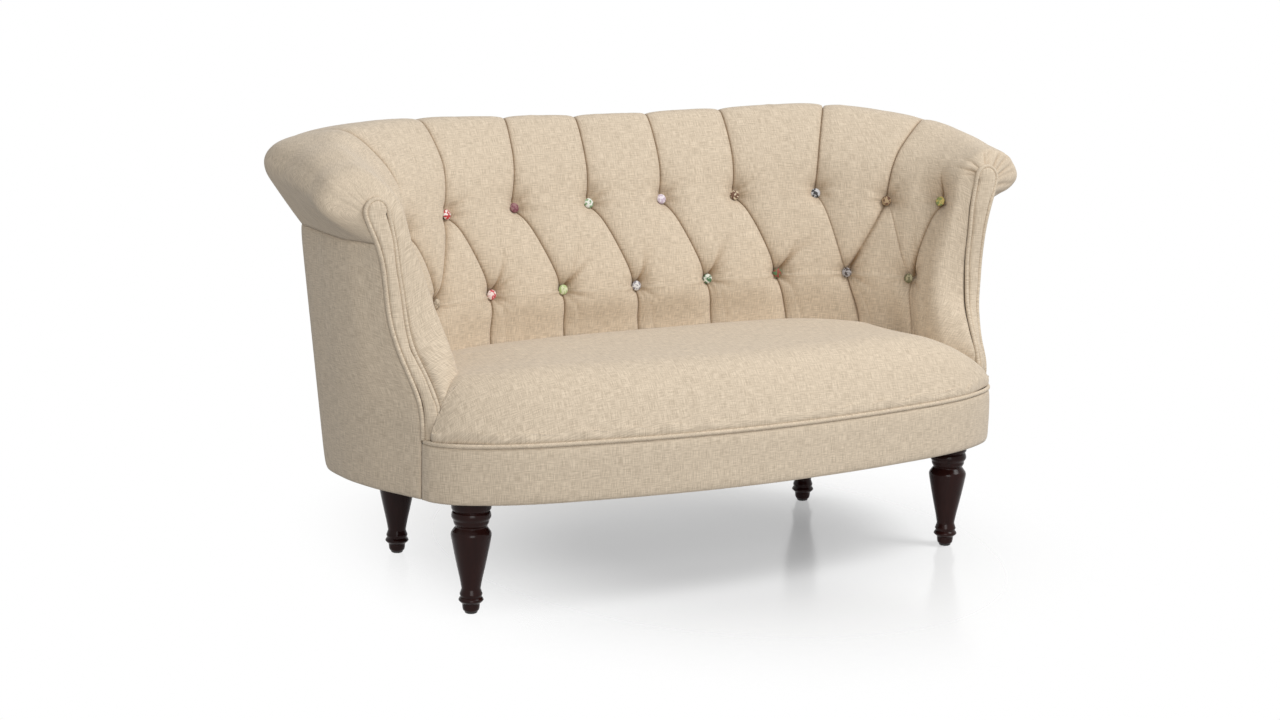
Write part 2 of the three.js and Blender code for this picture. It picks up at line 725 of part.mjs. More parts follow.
function cornerBlock([x, y], side) {
  const share = onStop(shareNear(x, y));
  const [reach, inset] = [blockSteps / rimDivisions, rails[1] + 2 * gap];
  const outer = rimStops(share - reach, share + reach).map((stop) => rimSmooth(stop, inset));
  const inner = [reach, -reach].map((step) => rimSmooth(share + step * blockTaper, inset + blockDepth));
  const outline = [...outer, ...inner].map(([u, v]) => [u * side, v]);
  return plate(outline, [[x * side, y, holeRadius, buttonSides]], railBottom, blockTop);
}

const corners = ['front', 'back'];
const sides = [['left', -1], ['right', 1]];
legPlaces.forEach((place, k) => {
  for (const [word, side] of sides) {
    add(`corner_block_${corners[k]}_${word}`, cornerBlock(place, side), frameWood);
  }
});

const braceHalf = 12;
const braceTop = railBottom + 5 * braceHalf;
const braceShares = [seamShare / 2, (1 + seamShare) / 2];
const [braceFront, braceBack] = braceShares.map((share) => rimSmooth(share, rails[1] + gap)[1]);
const brace = [
  [-braceHalf, braceFront], [braceHalf, braceFront], [braceHalf, braceBack], [-braceHalf, braceBack],
];
add('seat_brace', plate(brace, [], railBottom, braceTop), frameWood);

// Legs and glides
const boltProfile = [[boltRadius, legTop], [boltRadius, boltTop], [0, boltTop]];
const legShape = [[0, legProfile[0][1]], ...legProfile, ...boltProfile];
const glideShape = [
  [0, 0], [glideRadius * 0.8, 0], [glideRadius, glideTop * 0.35], [glideRadius, glideTop], [0, glideTop],
];
legPlaces.forEach(([x, y], k) => {
  for (const [word, side] of sides) {
    const leg = turned(legShape, legSides);
    add(`leg_${corners[k]}_${word}`, leg.translate(x * side, y, 0), darkWood);
    const glide = turned(glideShape, buttonSides);
    add(`glide_${corners[k]}_${word}`, glide.translate(x * side, y, 0), glideBlack);
  }
});

// Arm front posts, back posts and top rails inside the padding
const frameGap = 0.5;
const postDepth = 20;
const postGap = 1;
const postFrontShare = -0.507;
const postFront = postFrontShare * halfDepth;
const footEdge = edgeAt(facingOuter, baseHeight) - coreMargin - frameGap;
const boardFoot = railTop + gap;
const boardHead = headCentre[1] - headRadius / 2;
const coreLine = [
  ...coreHeights.map((height) => [height, edgeAt(facingInner, height) + coreMargin]).reverse(),
  corePoint(coreInnerShares).reverse(),
];

function boardInner(height) {
  let i = 0;
  while (i < coreLine.length - 2 && height > coreLine[i + 1][0]) i += 1;
  const share = (height - coreLine[i][0]) / (coreLine[i + 1][0] - coreLine[i][0]);
  return coreLine[i][1] + Math.max(share, 0) * (coreLine[i + 1][1] - coreLine[i][1]) + frameGap;
}

function boardOuter(height) {
  if (height <= neckHeight) return edgeAt(facingOuter, height) - coreMargin - frameGap;
  const [across, up] = corePoint(coreOuterShares);
  const rise = (height - neckHeight) / (up - neckHeight);
  const neck = edgeAt(facingOuter, neckHeight) - coreMargin;
  return neck + rise * (across - neck) - frameGap;
}

const postBends = facingHeights.filter((height) => height >= weltHeight && height < neckHeight);
const boardHeights = [boardFoot, ...postBends];
for (const [word, side] of sides) {
  const rings = [...boardHeights, neckHeight, boardHead].map((height) => {
    const inner = boardInner(height);
    const outer = height > weltHeight ? boardOuter(height) : Math.min(boardOuter(height), footEdge);
    const [near, far] = [inner, outer].map((x) => {
      const depth = faceY(x, height) + postGap;
      return height > facingHeights[2] ? depth : Math.max(depth, postFront);
    });
    return [
      [outer * side, far, height], [inner * side, near, height],
      [inner * side, near + postDepth, height], [outer * side, far + postDepth, height],
    ];
  });
  add(`arm_post_${word}`, loft(rings), frameWood);
}

const postStops = [['corner', 6, 0.22], ['middle', 2.2, 0.22]];
const postThickness = 18;
const postFootInsets = [railInset + frameGap, railInset + frameGap + postThickness];
const railLift = 3;
const postHeadInsets = [coreDepth - railLift - postThickness, coreDepth - railLift];
for (const [kind, stop, half] of postStops) {
  for (const [word, side] of sides) {
    const ends = [[0, postFootInsets], [1, postHeadInsets]].map(([share, insets]) => {
      const line = (at) => wallAt(at, share);
      const ring = [[-half, 0], [half, 0], [half, 1], [-half, 1]].map(([step, k]) => (
        inward(line, (stop + step) * side, insets[k])));
      const height = share ? wallAt(stop, 1)[2] + railLift - frameGap : railTop + gap;
      return ring.map(([x, y]) => [x, y, height]);
    });
    add(`back_post_${kind}_${word}`, loft(ends), frameWood);
  }
}

const topInsets = [lipDepth + 2 * frameGap, coreDepth - 2 * frameGap];
const topRise = [railLift, coreRise - 2 * frameGap];
const noseWidthShares = [0.8637, 0.85];
const noseLength = 11;
const noseBack = edgeAt(innerDepth, boardHead) + postGap + postDepth + frameGap + gap;
const noseHeightShares = [0.7313, 0.7835];
const noseWidths = scaled(halfWidth, noseWidthShares);
const noseDepths = [noseBack + noseLength, noseBack];
const noseHeights = raised(noseHeightShares);
function topRail(name, from, to) {
  const inner = padStops.filter((stop) => stop > from + seamHalf && stop < to - seamHalf);
  const joint = (at) => wallAt(at, 1);
  const rings = [from, ...inner, to].map((at) => {
    const [outer, back] = topInsets.map((inset) => inward(joint, at, inset));
    return [
      [outer[0], outer[1], outer[2] + topRise[0]], [back[0], back[1], back[2] + topRise[0]],
      [back[0], back[1], back[2] + topRise[1]], [outer[0], outer[1], outer[2] + topRise[1]],
    ];
  });
  const nose = noseDepths.map((y) => {
    const [outer, back] = noseWidths.map((x) => [to === railEnd ? x : -x, y]);
    return [
      [...outer, noseHeights[0]], [...back, noseHeights[0]],
      [...back, noseHeights[1]], [...outer, noseHeights[1]],
    ];
  });
  if (to === railEnd) rings.push(...nose);
  if (from === -railEnd) rings.unshift(...nose.reverse());
  add(name, loft(rings), frameWood);
}

const railMeet = 6;
const railEnd = 9.34;
topRail('top_rail_left', -railEnd, -railMeet - seamHalf);
topRail('top_rail_back', seamHalf - railMeet, railMeet - seamHalf);
topRail('top_rail_right', railMeet + seamHalf, railEnd);

// Seat webbing: straps both ways across the frame, joined where they cross
function manifold(geometry) {
  const { position } = geometry.attributes;
  return new wasm.Manifold(new wasm.Mesh({
    numProp: 3,
    vertProperties: new Float32Array(position.array),
    triVerts: new Uint32Array(geometry.index.array),
  }));
}

const webInset = postFootInsets[1] + 2 * frameGap;
const webRim = spread(0, 1, rimSteps).map((share) => rimSmooth(share, webInset));

function spanAt(axis, place) {
  // Where the frame opening begins and ends across one strap
  const other = 1 - axis;
  const edges = [place - webWidth / 2, place, place + webWidth / 2].map((value) => {
    const hits = [];
    for (let i = 0; i + 1 < webRim.length; i += 1) {
      const [p, q] = [webRim[i], webRim[i + 1]];
      if ((p[axis] - value) * (q[axis] - value) < 0) hits.push((p[other] + q[other]) / 2);
    }
    return [Math.min(...hits), Math.max(...hits)];
  });
  return [Math.max(...edges.map(([low]) => low)), Math.min(...edges.map(([, high]) => high))];
}

const lengthStrapShares = [-0.627, -0.35, -0.073, 0.204, 0.481];
const crossStrapShares = [-0.616, -0.493, -0.37, -0.1245, 0, 0.1245, 0.37, 0.493, 0.616];
const lengthStraps = scaled(halfDepth, lengthStrapShares);
const crossStraps = scaled(halfWidth, crossStrapShares);
const strapBodies = [[lengthStraps, 1, 0], [crossStraps, 0, webThickness - webOverlap]].flatMap(
  ([places, axis, lift]) => places.map((place) => {
    const [low, high] = spanAt(axis, place);
    const [from, to] = [place - webWidth / 2, place + webWidth / 2];
    const outline = axis
      ? [[low, from], [high, from], [high, to], [low, to]]
      : [[from, low], [to, low], [to, high], [from, high]];
    return manifold(plate(outline, [], webHeight + lift, webHeight + lift + webThickness));
  }),
);
const joined = strapBodies.reduce((sum, strap) => sum.add(strap)).getMesh();
const webGeometry = new THREE.BufferGeometry();
webGeometry.setAttribute('position', new THREE.Float32BufferAttribute(joined.vertProperties, 3));
webGeometry.setIndex(Array.from(joined.triVerts));
add('seat_webbing', welded(webGeometry), jute);

// Dust cover under the frame, with a hole round each leg
const coverInset = 9;
const coverThickness = 0.8;
const coverHeights = [railBottom - gap - coverThickness, railBottom - gap];
const coverHole = legRadius + 7 * gap;
const coverOutline = spread(0, 1, wallSteps).slice(1).map((share) => rimSmooth(share, coverInset));
const coverHoles = legPlaces.flatMap(([x, y]) => sides.map(([, side]) => [x * side, y, coverHole, legSides]));
add('dust_cover', plate(coverOutline, coverHoles, ...coverHeights), cambric);

// Seat: tight crowned pad whose edge follows the front and the foot of the padded inside
const seatLift = 11;
const seatFrontEdge = weltHeight + seatLift;
const seatDrop = 10;
const seatLowInset = 6.6;
const seatCornerShares = [
  [0.755, -0.668, 0.192], [0.772, -0.624, 0.2], [0.764, -0.592, 0.206], [0.75, -0.554, 0.216],
];
const seatCorner = placed(seatCornerShares);
const seatFrontSteps = 20;
const seatStops = [9.7, 9.35, 9, 8.33, 7.67, 7, 6.33, 5.67, 5, 4, 3, 2, 1, 0];

function seatEdgePoint(at) {
  const line = (stop) => padAt(stop, padRows.indexOf(levelStops[0]));
  const [x, y, z] = inward(line, at, seatMargin);
  return [x, y, z - seatDrop];
}

const seatFront = spread(0, 1, seatFrontSteps).slice(0, -1).map((share) => {
  const [x, y] = frontAt(share * frontShares[4]);
  return [x, y + seatMargin, seatFrontEdge];
});
const seatHalf = [...seatFront, ...seatCorner, ...seatStops.map(seatEdgePoint)];
const seatOutline = [...seatHalf, ...seatHalf.slice(1, -1).reverse().map(flip)];

function seatRing(share, height) {
  return seatOutline.map(([x, y, z]) => {
    const crown = z + (seatTop - z) * (1 - share ** crownPower);
    return [
      seatCentre[0] + share * (x - seatCentre[0]), seatCentre[1] + share * (y - seatCentre[1]),
      height === undefined ? crown : height,
    ];
  });
}

const lowShare = 1 - seatLowInset / (seatCentre[1] - frontLine[0][1]);
const shoulderHeight = weltHeight + weltRadius + seatEdge;
const seatRings = [
  seatRing(lowShare, seatBottom), seatRing(lowShare, weltHeight + weltRadius + gap),
  seatRing(1, shoulderHeight), seatRing(1), ...seatShares.map((share) => seatRing(share)),
];
const centrePoint = [...seatCentre, seatTop];
const seatPoints = [...seatRings.flat(), centrePoint, [...seatCentre, seatBottom]];
const seatFaces = [];
const seatSize = seatOutline.length;
for (let j = 0; j < seatSize; j += 1) {
  const k = (j + 1) % seatSize;
  for (let i = 0; i + 1 < seatRings.length; i += 1) {
    const [a, b, c, d] = [i * seatSize + j, i * seatSize + k, (i + 1) * seatSize + k, (i + 1) * seatSize + j];
    seatFaces.push([a, b, c], [a, c, d]);
  }
  const last = (seatRings.length - 1) * seatSize;
  seatFaces.push([last + j, last + k, seatPoints.length - 2], [k, j, seatPoints.length - 1]);
}
add('seat_pad', geometryOf(seatPoints, seatFaces), linen);

// Piping
function pipe(points, hint) {
  const path = points.map((point) => new THREE.Vector3().fromArray(point));
  const rings = path.map((here, i) => {
    const along = path[Math.min(i + 1, path.length - 1)].clone().sub(path[Math.max(i - 1, 0)]).normalize();
    const across = along.clone().cross(hint).normalize();
    const over = across.clone().cross(along);
    return spread(0, 2 * Math.PI, weltSides).slice(1).map((angle) => (
      here.clone().addScaledVector(across, weltRadius * Math.cos(angle))
        .addScaledVector(over, weltRadius * Math.sin(angle)).toArray()));
  });
  const cap = spread(1, weltSides - 2, weltSides - 3).map((k) => [0, k, k + 1]);
  return grid(rings, () => false, cap);
}

const weltInset = 1.5;
const weltEnd = 24;
const weltSteps = 60;
const weltEndShare = weltEnd / rimLength;
const seatWeltPath = spread(weltEndShare, seamShare - weltEndShare, weltSteps).map((share) => (
  [...rimSmooth(share, weltInset), weltHeight]));
add('seat_welt', pipe(seatWeltPath, new THREE.Vector3(0, 0, 1)), linen);

// Arm facings and the piping round them
const [facingLift, outerWeltLift, innerWeltLift] = [8, 11, 55];
const facingFoot = weltHeight + facingLift;
const outerWeltFoot = weltHeight + outerWeltLift;
const innerWeltFoot = weltHeight + innerWeltLift;
const weltForward = 1.5;
const headWeltTurns = [-20, 5, 30, 55, 80, 105, 130, 155, 180];
const edgeMargin = weltRadius + 3 * gap;

function edgeHeights(foot, head) {
  return [foot, ...facingHeights.filter((height) => height > foot + 1 && height < head)];
}

function facingPath() {
  const outer = edgeHeights(outerWeltFoot, headCentre[1] - headRadius / 2)
    .map((height) => [edgeAt(facingOuter, height), edgeAt(outerDepth, height) - weltForward, height]);
  const inner = edgeHeights(innerWeltFoot, headCentre[1]).reverse()
    .map((height) => [edgeAt(facingInner, height), edgeAt(innerDepth, height) - weltForward, height]);
  const head = headWeltTurns.map((turn) => {
    const angle = THREE.MathUtils.degToRad(turn);
    const x = headCentre[0] + headRadius * Math.cos(angle);
    const z = headCentre[1] + headRadius * Math.sin(angle);
    return [x, faceY(x, z) - weltForward, z];
  });
  return [...outer, ...head, ...inner];
}

const headTurnsInside = [8, 35, 60, 80];
const facingRows = [
  ...edgeHeights(facingFoot, headCentre[1]).map((height) => (
    [edgeAt(facingOuter, height) - edgeMargin, edgeAt(facingInner, height) + edgeMargin, height])),
  ...headTurnsInside.map((turn) => {
    const angle = THREE.MathUtils.degToRad(turn);
    const reach = headRadius - edgeMargin;
    const half = reach * Math.cos(angle);
    return [headCentre[0] + half, headCentre[0] - half, headCentre[1] + reach * Math.sin(angle)];
  }),
];

for (const [word, side] of sides) {
  const path = facingPath().map(([x, y, z]) => [x * side, y, z]);
  add(`facing_welt_${word}`, pipe(path, new THREE.Vector3(0, 1, 0)), linen);
  const rings = facingRows.map(([outer, inner, height]) => {
    const middle = (outer + inner) / 2;
    const crown = (facingCrown * (outer - inner)) / (2 * headRadius);
    return [
      [outer, faceY(outer, height), height], [inner, faceY(inner, height), height],
      [inner, faceY(inner, height) - facingThickness, height],
      [middle, faceY(middle, height) - facingThickness - crown, height],
      [outer, faceY(outer, height) - facingThickness, height],
    ].map(([x, y, z]) => [x * side, y, z]);
  });
  add(`arm_facing_${word}`, loft(rings), linen);
}

export default settee;
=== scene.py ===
import math
import random

import bmesh
import bpy
import numpy as np
from mathutils import Matrix, Vector


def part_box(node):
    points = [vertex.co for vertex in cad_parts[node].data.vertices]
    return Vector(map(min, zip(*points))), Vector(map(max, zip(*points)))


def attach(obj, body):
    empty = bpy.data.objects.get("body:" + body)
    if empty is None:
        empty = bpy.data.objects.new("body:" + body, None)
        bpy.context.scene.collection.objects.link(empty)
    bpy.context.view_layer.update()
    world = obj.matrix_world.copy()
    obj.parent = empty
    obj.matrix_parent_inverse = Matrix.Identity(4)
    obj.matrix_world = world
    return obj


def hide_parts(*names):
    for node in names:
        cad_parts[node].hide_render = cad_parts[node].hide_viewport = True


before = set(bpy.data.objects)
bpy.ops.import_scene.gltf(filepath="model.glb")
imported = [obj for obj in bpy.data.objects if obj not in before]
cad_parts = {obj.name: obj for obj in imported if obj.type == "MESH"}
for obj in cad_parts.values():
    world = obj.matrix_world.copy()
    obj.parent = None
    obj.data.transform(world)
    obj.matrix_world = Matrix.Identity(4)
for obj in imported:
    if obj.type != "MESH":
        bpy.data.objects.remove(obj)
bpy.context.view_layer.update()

# Camera
# Stands where the photographer stood: a little to the left, above the back rail, with a long lens.
# It was resectioned from the two sides of the settee, so its place, turn and lens belong together.
camera_place = Vector((-2.46142, -4.13848, 1.31082))
camera_yaw, camera_pitch, camera_roll = 0.523183, 0.190444, 0.0159596
focal_pixels, image_width, sensor_width = 2554.017, 1280, 36.0
ahead = Vector((math.sin(camera_yaw), math.cos(camera_yaw), 0)) * math.cos(camera_pitch)
ahead.z = -math.sin(camera_pitch)
level = Vector((math.cos(camera_yaw), -math.sin(camera_yaw), 0))
above = level.cross(ahead)
camera_right = math.cos(camera_roll) * level + math.sin(camera_roll) * above
camera_up = math.cos(camera_roll) * above - math.sin(camera_roll) * level
lens = bpy.data.cameras.new("studio_camera")
lens.sensor_width = sensor_width
lens.lens = focal_pixels * sensor_width / image_width


def add_object(name, data):
    made = bpy.data.objects.new(name, data)
    bpy.context.scene.collection.objects.link(made)
    return made


camera = add_object("studio_camera", lens)
turned_to = Matrix((camera_right, camera_up, -ahead)).transposed()
camera.matrix_world = Matrix.Translation(camera_place) @ turned_to.to_4x4()
bpy.context.scene.camera = camera
bpy.context.scene.view_settings.view_transform = "Standard"

# Studio
# A pale floor that keeps the soft shadow and clears towards its rim, a white world and two large lamps.
# The stronger lamp stands front right and high, so the left side falls into shade, as on the photograph.
floor_half, floor_tone = 9.0, 0.93
clear_from, clear_to, clear_least = 0.25, 1.05, 0.24
clear_centre, clear_stretch = (0.12, 0.05, 0.0), (1.3, 1.0, 1.0)
world_level = 0.4
lamps = [
    ("key_lamp", (2.7, -2.4, 4.3), 2.3, 178.0),
    ("fill_lamp", (-2.0, -4.4, 2.2), 2.2, 96.0),
]
aim = Vector((0.0, 0.0, 0.45))


def mesh_piece(name, points, faces):
    mesh = bpy.data.meshes.new(name)
    mesh.from_pydata([tuple(p) for p in points], [], [tuple(int(i) for i in f) for f in faces])
    mesh.update()
    mesh.polygons.foreach_set("use_smooth", [True] * len(mesh.polygons))
    return add_object(name, mesh)


def set_inputs(tree, made, values):
    """Sets a node's inputs; a value that is another node's output is wired to it."""
    for socket, value in values.items():
        if isinstance(value, bpy.types.NodeSocket):
            tree.links.new(value, made.inputs[socket])
        else:
            made.inputs[socket].default_value = value


def add_node(tree, kind, values=None, **settings):
    made = tree.nodes.new(kind)
    for setting, value in settings.items():
        setattr(made, setting, value)
    set_inputs(tree, made, values or {})
    return made


def new_material(name, values):
    material = bpy.data.materials.new(name)
    material.use_nodes = True
    shader = material.node_tree.nodes["Principled BSDF"]
    set_inputs(material.node_tree, shader, values)
    return material, material.node_tree, shader


rim = [(x * floor_half, y * floor_half, 0) for x, y in ((-1, -1), (1, -1), (1, 1), (-1, 1))]
floor = mesh_piece("studio_floor", rim, [(0, 1, 2, 3)])
paint, tree, shader = new_material("studio_floor", {
    "Base Color": (floor_tone, floor_tone, floor_tone, 1), "Roughness": 0.16, "Specular IOR Level": 0.4})
floor.data.materials.append(paint)
where = add_node(tree, "ShaderNodeTexCoord")
shaped = add_node(tree, "ShaderNodeMapping", vector_type="TEXTURE", values={
    "Vector": where.outputs["Object"], "Location": clear_centre, "Scale": [1 / s for s in clear_stretch]})
from_middle = add_node(tree, "ShaderNodeVectorMath", {0: shaped.outputs["Vector"]}, operation="LENGTH")
fade = add_node(tree, "ShaderNodeMapRange", interpolation_type="SMOOTHSTEP", values={
    "Value": from_middle.outputs["Value"],
    "From Min": clear_from, "From Max": clear_to, "To Min": clear_least})
clear = add_node(tree, "ShaderNodeBsdfTransparent")
merge = add_node(tree, "ShaderNodeMixShader", {
    "Fac": fade.outputs["Result"], 1: shader.outputs["BSDF"], 2: clear.outputs["BSDF"]})
set_inputs(tree, tree.nodes["Material Output"], {"Surface": merge.outputs["Shader"]})

world = bpy.data.worlds.new("studio_world")
bpy.context.scene.world = world
world.use_nodes = True
tree = world.node_tree
rays = add_node(tree, "ShaderNodeLightPath")
seen = rays.outputs["Is Camera Ray"]
for ray in ("Is Glossy Ray", "Is Transmission Ray"):
    either = add_node(tree, "ShaderNodeMath", {0: seen, 1: rays.outputs[ray]}, operation="MAXIMUM")
    seen = either.outputs[0]
level_now = add_node(tree, "ShaderNodeMapRange", {"Value": seen, "To Min": world_level, "To Max": 1.0})
set_inputs(tree, tree.nodes["Background"], {"Color": (1, 1, 1, 1), "Strength": level_now.outputs["Result"]})

for name, place, width, power in lamps:
    light = bpy.data.lights.new(name, "AREA")
    light.energy = power
    light.size = width
    lamp = add_object(name, light)
    lamp.location = place
    lamp.rotation_euler = (aim - Vector(place)).to_track_quat("-Z", "Y").to_euler()

# Tufted inside
# One linen cover over a stuffed back: it runs from the seat up over the roll and is tacked under it.
# Twine draws nineteen buttons into the stuffing, and the slack is folded into pleats between them.
linen_tone = (0.72, 0.605, 0.465, 1)
linen_shade = (0.47, 0.385, 0.285, 1)
# The darker brown that is painted into the cover's creases and hollows as shade.
painted_fold_shade = (0.5, 0.38, 0.26, 1)
yarns_per_metre = 900


def new_group(name, kind, inputs, outputs):
    """A node group with the named sockets: the group, what its input node gives, and its output node."""
    group = bpy.data.node_groups.new(name, kind)
    for way, sockets in (("INPUT", inputs), ("OUTPUT", outputs)):
        for label, sort in sockets.items():
            group.interface.new_socket(label, in_out=way, socket_type=f"NodeSocket{sort}")
    source, sink_node = group.nodes.new("NodeGroupInput"), group.nodes.new("NodeGroupOutput")
    return group, source.outputs, sink_node


def weave_group():
    """Slubby yarns that cross each other, as a tone and as a height; a place is a vector in metres."""
    inputs, outputs = {"Place": "Vector", "Yarns per metre": "Float"}, {"Tone": "Float", "Height": "Float"}
    group, given, result = new_group("slub_weave", "ShaderNodeTree", inputs, outputs)
    scaled = add_node(group, "ShaderNodeVectorMath", operation="SCALE", values={
        0: given["Place"], "Scale": given["Yarns per metre"]}).outputs[0]
    slubs, waves = [], []
    for stretch in ((1.0, 0.06, 1.0), (0.06, 1.0, 1.0)):
        along = add_node(group, "ShaderNodeMapping", {"Vector": scaled, "Scale": stretch})
        slub = add_node(group, "ShaderNodeTexNoise", {
            "Vector": along.outputs["Vector"], "Scale": 0.95, "Detail": 2.0})
        slubs.append(slub.outputs["Fac"])
    both = add_node(group, "ShaderNodeMath", {0: slubs[0], 1: slubs[1]}, operation="ADD")
    spread_out = add_node(group, "ShaderNodeMapRange", {
        "Value": both.outputs[0], "From Min": 0.81, "From Max": 1.19}).outputs["Result"]
    cloud = add_node(group, "ShaderNodeTexNoise", {"Vector": scaled, "Scale": 0.012, "Detail": 1.0})
    mixed = add_node(group, "ShaderNodeMix", {0: 0.12, 2: spread_out, 3: cloud.outputs["Fac"]})
    for turn in (0.0, math.pi / 2):
        turned = add_node(group, "ShaderNodeMapping", {"Vector": scaled, "Rotation": (0, 0, turn)})
        wave = add_node(group, "ShaderNodeTexWave", {
            "Vector": turned.outputs["Vector"], "Scale": 0.5, "Distortion": 1.4, "Detail Scale": 0.3})
        waves.append(wave.outputs["Fac"])
    crossed = add_node(group, "ShaderNodeMath", {0: waves[0], 1: waves[1]}, operation="MULTIPLY")
    raised = add_node(group, "ShaderNodeMath", operation="MULTIPLY_ADD", values={
        0: crossed.outputs[0], 1: 0.45, 2: spread_out})
    set_inputs(group, result, {"Tone": mixed.outputs[0], "Height": raised.outputs[0]})
    return group


def two_tones(tree, share, first, second, **settings):
    """A colour between two others, by a share or a mask."""
    mix = add_node(tree, "ShaderNodeMix", {0: share, 6: first, 7: second}, data_type="RGBA", **settings)
    return mix.outputs[2]


def add_bump(tree, shader, height, strength, distance):
    bump = add_node(tree, "ShaderNodeBump", {
        "Height": height, "Strength": strength, "Distance": distance})
    set_inputs(tree, shader, {"Normal": bump.outputs["Normal"]})


slub_weave = weave_group()


def linen_material(name, turn=0.0):
    """Oatmeal linen of yarns in two tones along the cloth coordinates, with painted shade in creases and
    hollows.
    """
    material, tree, shader = new_material(name, {
        "Roughness": 0.86, "Specular IOR Level": 0.22, "Sheen Weight": 0.18, "Sheen Roughness": 0.5})
    cloth = add_node(tree, "ShaderNodeUVMap", uv_map="cloth")
    laid = add_node(tree, "ShaderNodeMapping", {"Vector": cloth.outputs["UV"], "Rotation": (0, 0, turn)})
    weave = add_node(tree, "ShaderNodeGroup", node_tree=slub_weave, values={
        "Place": laid.outputs["Vector"], "Yarns per metre": yarns_per_metre})
    tone = two_tones(tree, weave.outputs["Tone"], linen_shade, linen_tone)
    # Painted shade: the fold attribute multiplies the colour darker in creases and hollows.
    fold = add_node(tree, "ShaderNodeAttribute", attribute_name="fold")
    deep = two_tones(tree, fold.outputs["Fac"], tone, painted_fold_shade, blend_type="MULTIPLY")
    set_inputs(tree, shader, {"Base Color": deep})
    add_bump(tree, shader, weave.outputs["Height"], 0.22, 0.0006)
    return material


linen = linen_material("oatmeal_linen")


def lay_cloth(piece, across, along):
    """Lays cloth coordinates in metres, from a pair in millimetres for each point of the piece."""
    layer = piece.data.uv_layers.new(name="cloth")
    corners = np.empty(len(piece.data.loops), dtype=np.int64)
    piece.data.loops.foreach_get("vertex_index", corners)
    laid = np.stack([np.ravel(across)[corners], np.ravel(along)[corners]], 1) * millimetre
    layer.data.foreach_set("uv", laid.astype(np.float32).ravel())


# The lines that the frame of the settee follows: a half plan from the middle of the back to an arm front,
# in shares of half the width, half the depth and the body's height, which are in millimetres. Columns are
# counted in half button spacings, and rows from the seat up over the roll.
half_width, half_depth, base_height, body_height = 763.0, 343.0, 213.5, 623.5
millimetre = 0.001


def placed(shares):
    shares = np.asarray(shares, float)
    if shares.shape[-1] == 2:
        shares = np.concatenate([shares, np.zeros_like(shares[..., :1])], -1)
    return shares * (half_width, half_depth, body_height) + (0, 0, base_height)


column_stops = np.array([0, 3, 5, 7, 8, 9, 9.6, 10.0])
front_share = 0.6
wall_reach, wall_setback = 1.5, 4.5
wall_foot = placed([
    (0, 0.907), (0.338, 0.901), (0.685, 0.828), (0.861, 0.423), (0.878, 0.131), (0.857, -0.159),
])
roll_joint = placed([
    (0, 0.907, 0.732), (0.336, 0.899, 0.735), (0.682, 0.84, 0.735), (0.915, 0.443, 0.732),
    (0.925, 0.173, 0.727), (0.908, -0.076, 0.718),
])
level_stops = np.array([-2, 0, 3, 5, 6, 7, 8, 9, 10.0])
level_lines = placed([
    [
        (0, 0.429, 0.328), (0.326, 0.408, 0.328), (0.535, 0.312, 0.325), (0.679, 0.09, 0.312),
        (0.695, -0.076, 0.304), (0.691, -0.213, 0.291), (0.706, -0.379, 0.275),
    ],
    [
        (0, 0.379, 0.472), (0.317, 0.37, 0.48), (0.511, 0.306, 0.48), (0.657, 0.117, 0.476),
        (0.7, -0.02, 0.474), (0.712, -0.146, 0.472), (0.729, -0.257, 0.468),
    ],
    [
        (0, 0.522, 0.737), (0.322, 0.504, 0.737), (0.532, 0.373, 0.737), (0.688, 0.16, 0.716),
        (0.737, 0.05, 0.721), (0.775, -0.07, 0.727), (0.786, -0.213, 0.724),
    ],
    [
        (0, 0.601, 0.868), (0.324, 0.583, 0.877), (0.557, 0.443, 0.885), (0.734, 0.207, 0.877),
        (0.784, 0.09, 0.872), (0.809, -0.047, 0.86), (0.819, -0.192, 0.843),
    ],
    [
        (0, 0.732, 0.986), (0.326, 0.717, 0.992), (0.604, 0.574, 1), (0.822, 0.283, 0.979),
        (0.872, 0.117, 0.953), (0.875, -0.052, 0.926), (0.874, -0.201, 0.902),
    ],
    [
        (0, 0.86, 0.976), (0.329, 0.848, 0.984), (0.649, 0.729, 0.998), (0.891, 0.417, 0.981),
        (0.933, 0.166, 0.95), (0.936, -0.044, 0.923), (0.928, -0.21, 0.896),
    ],
    [
        (0, 0.968, 0.934), (0.336, 0.959, 0.941), (0.695, 0.883, 0.958), (0.974, 0.501, 0.942),
        (0.98, 0.204, 0.913), (0.976, -0.044, 0.888), (0.967, -0.216, 0.865),
    ],
    [
        (0, 1, 0.864), (0.338, 0.985, 0.872), (0.714, 0.95, 0.889), (0.988, 0.522, 0.867),
        (1, 0.216, 0.848), (0.993, -0.052, 0.827), (0.98, -0.219, 0.798),
    ],
])
facing_heights = base_height + body_height * np.array([
    0, 0.169, 0.221, 0.267, 0.298, 0.343, 0.389, 0.419,
    0.48, 0.526, 0.572, 0.648, 0.724, 0.793, 0.848,
])
facing_outer = half_width * np.array([
    0.801, 0.801, 0.803, 0.802, 0.803, 0.812, 0.822, 0.828,
    0.84, 0.845, 0.849, 0.856, 0.872, 0.896, 0.896,
])
facing_inner = half_width * np.array([
    0.776, 0.775, 0.768, 0.768, 0.772, 0.777, 0.787, 0.794,
    0.801, 0.804, 0.808, 0.817, 0.823, 0.837, 0.852,
])
outer_depth = half_depth * np.array([
    -0.501, -0.507, -0.516, -0.491, -0.452, -0.408, -0.359, -0.338,
    -0.312, -0.3, -0.297, -0.3, -0.297, -0.28, -0.267,
])
inner_depth = half_depth * np.array([
    -0.554, -0.554, -0.554, -0.536, -0.501, -0.44, -0.376, -0.341,
    -0.312, -0.297, -0.289, -0.28, -0.271, -0.265, -0.265,
])
neck_height, welt_height = base_height + 0.718 * body_height, base_height + 0.169 * body_height
pad_bottom = welt_height - 5.5
head_radius = (facing_outer[13] - facing_inner[13]) / 2 + 1.2
head_centre = np.array([(facing_outer[13] + facing_inner[13]) / 2, facing_heights[13] + head_radius / 3])
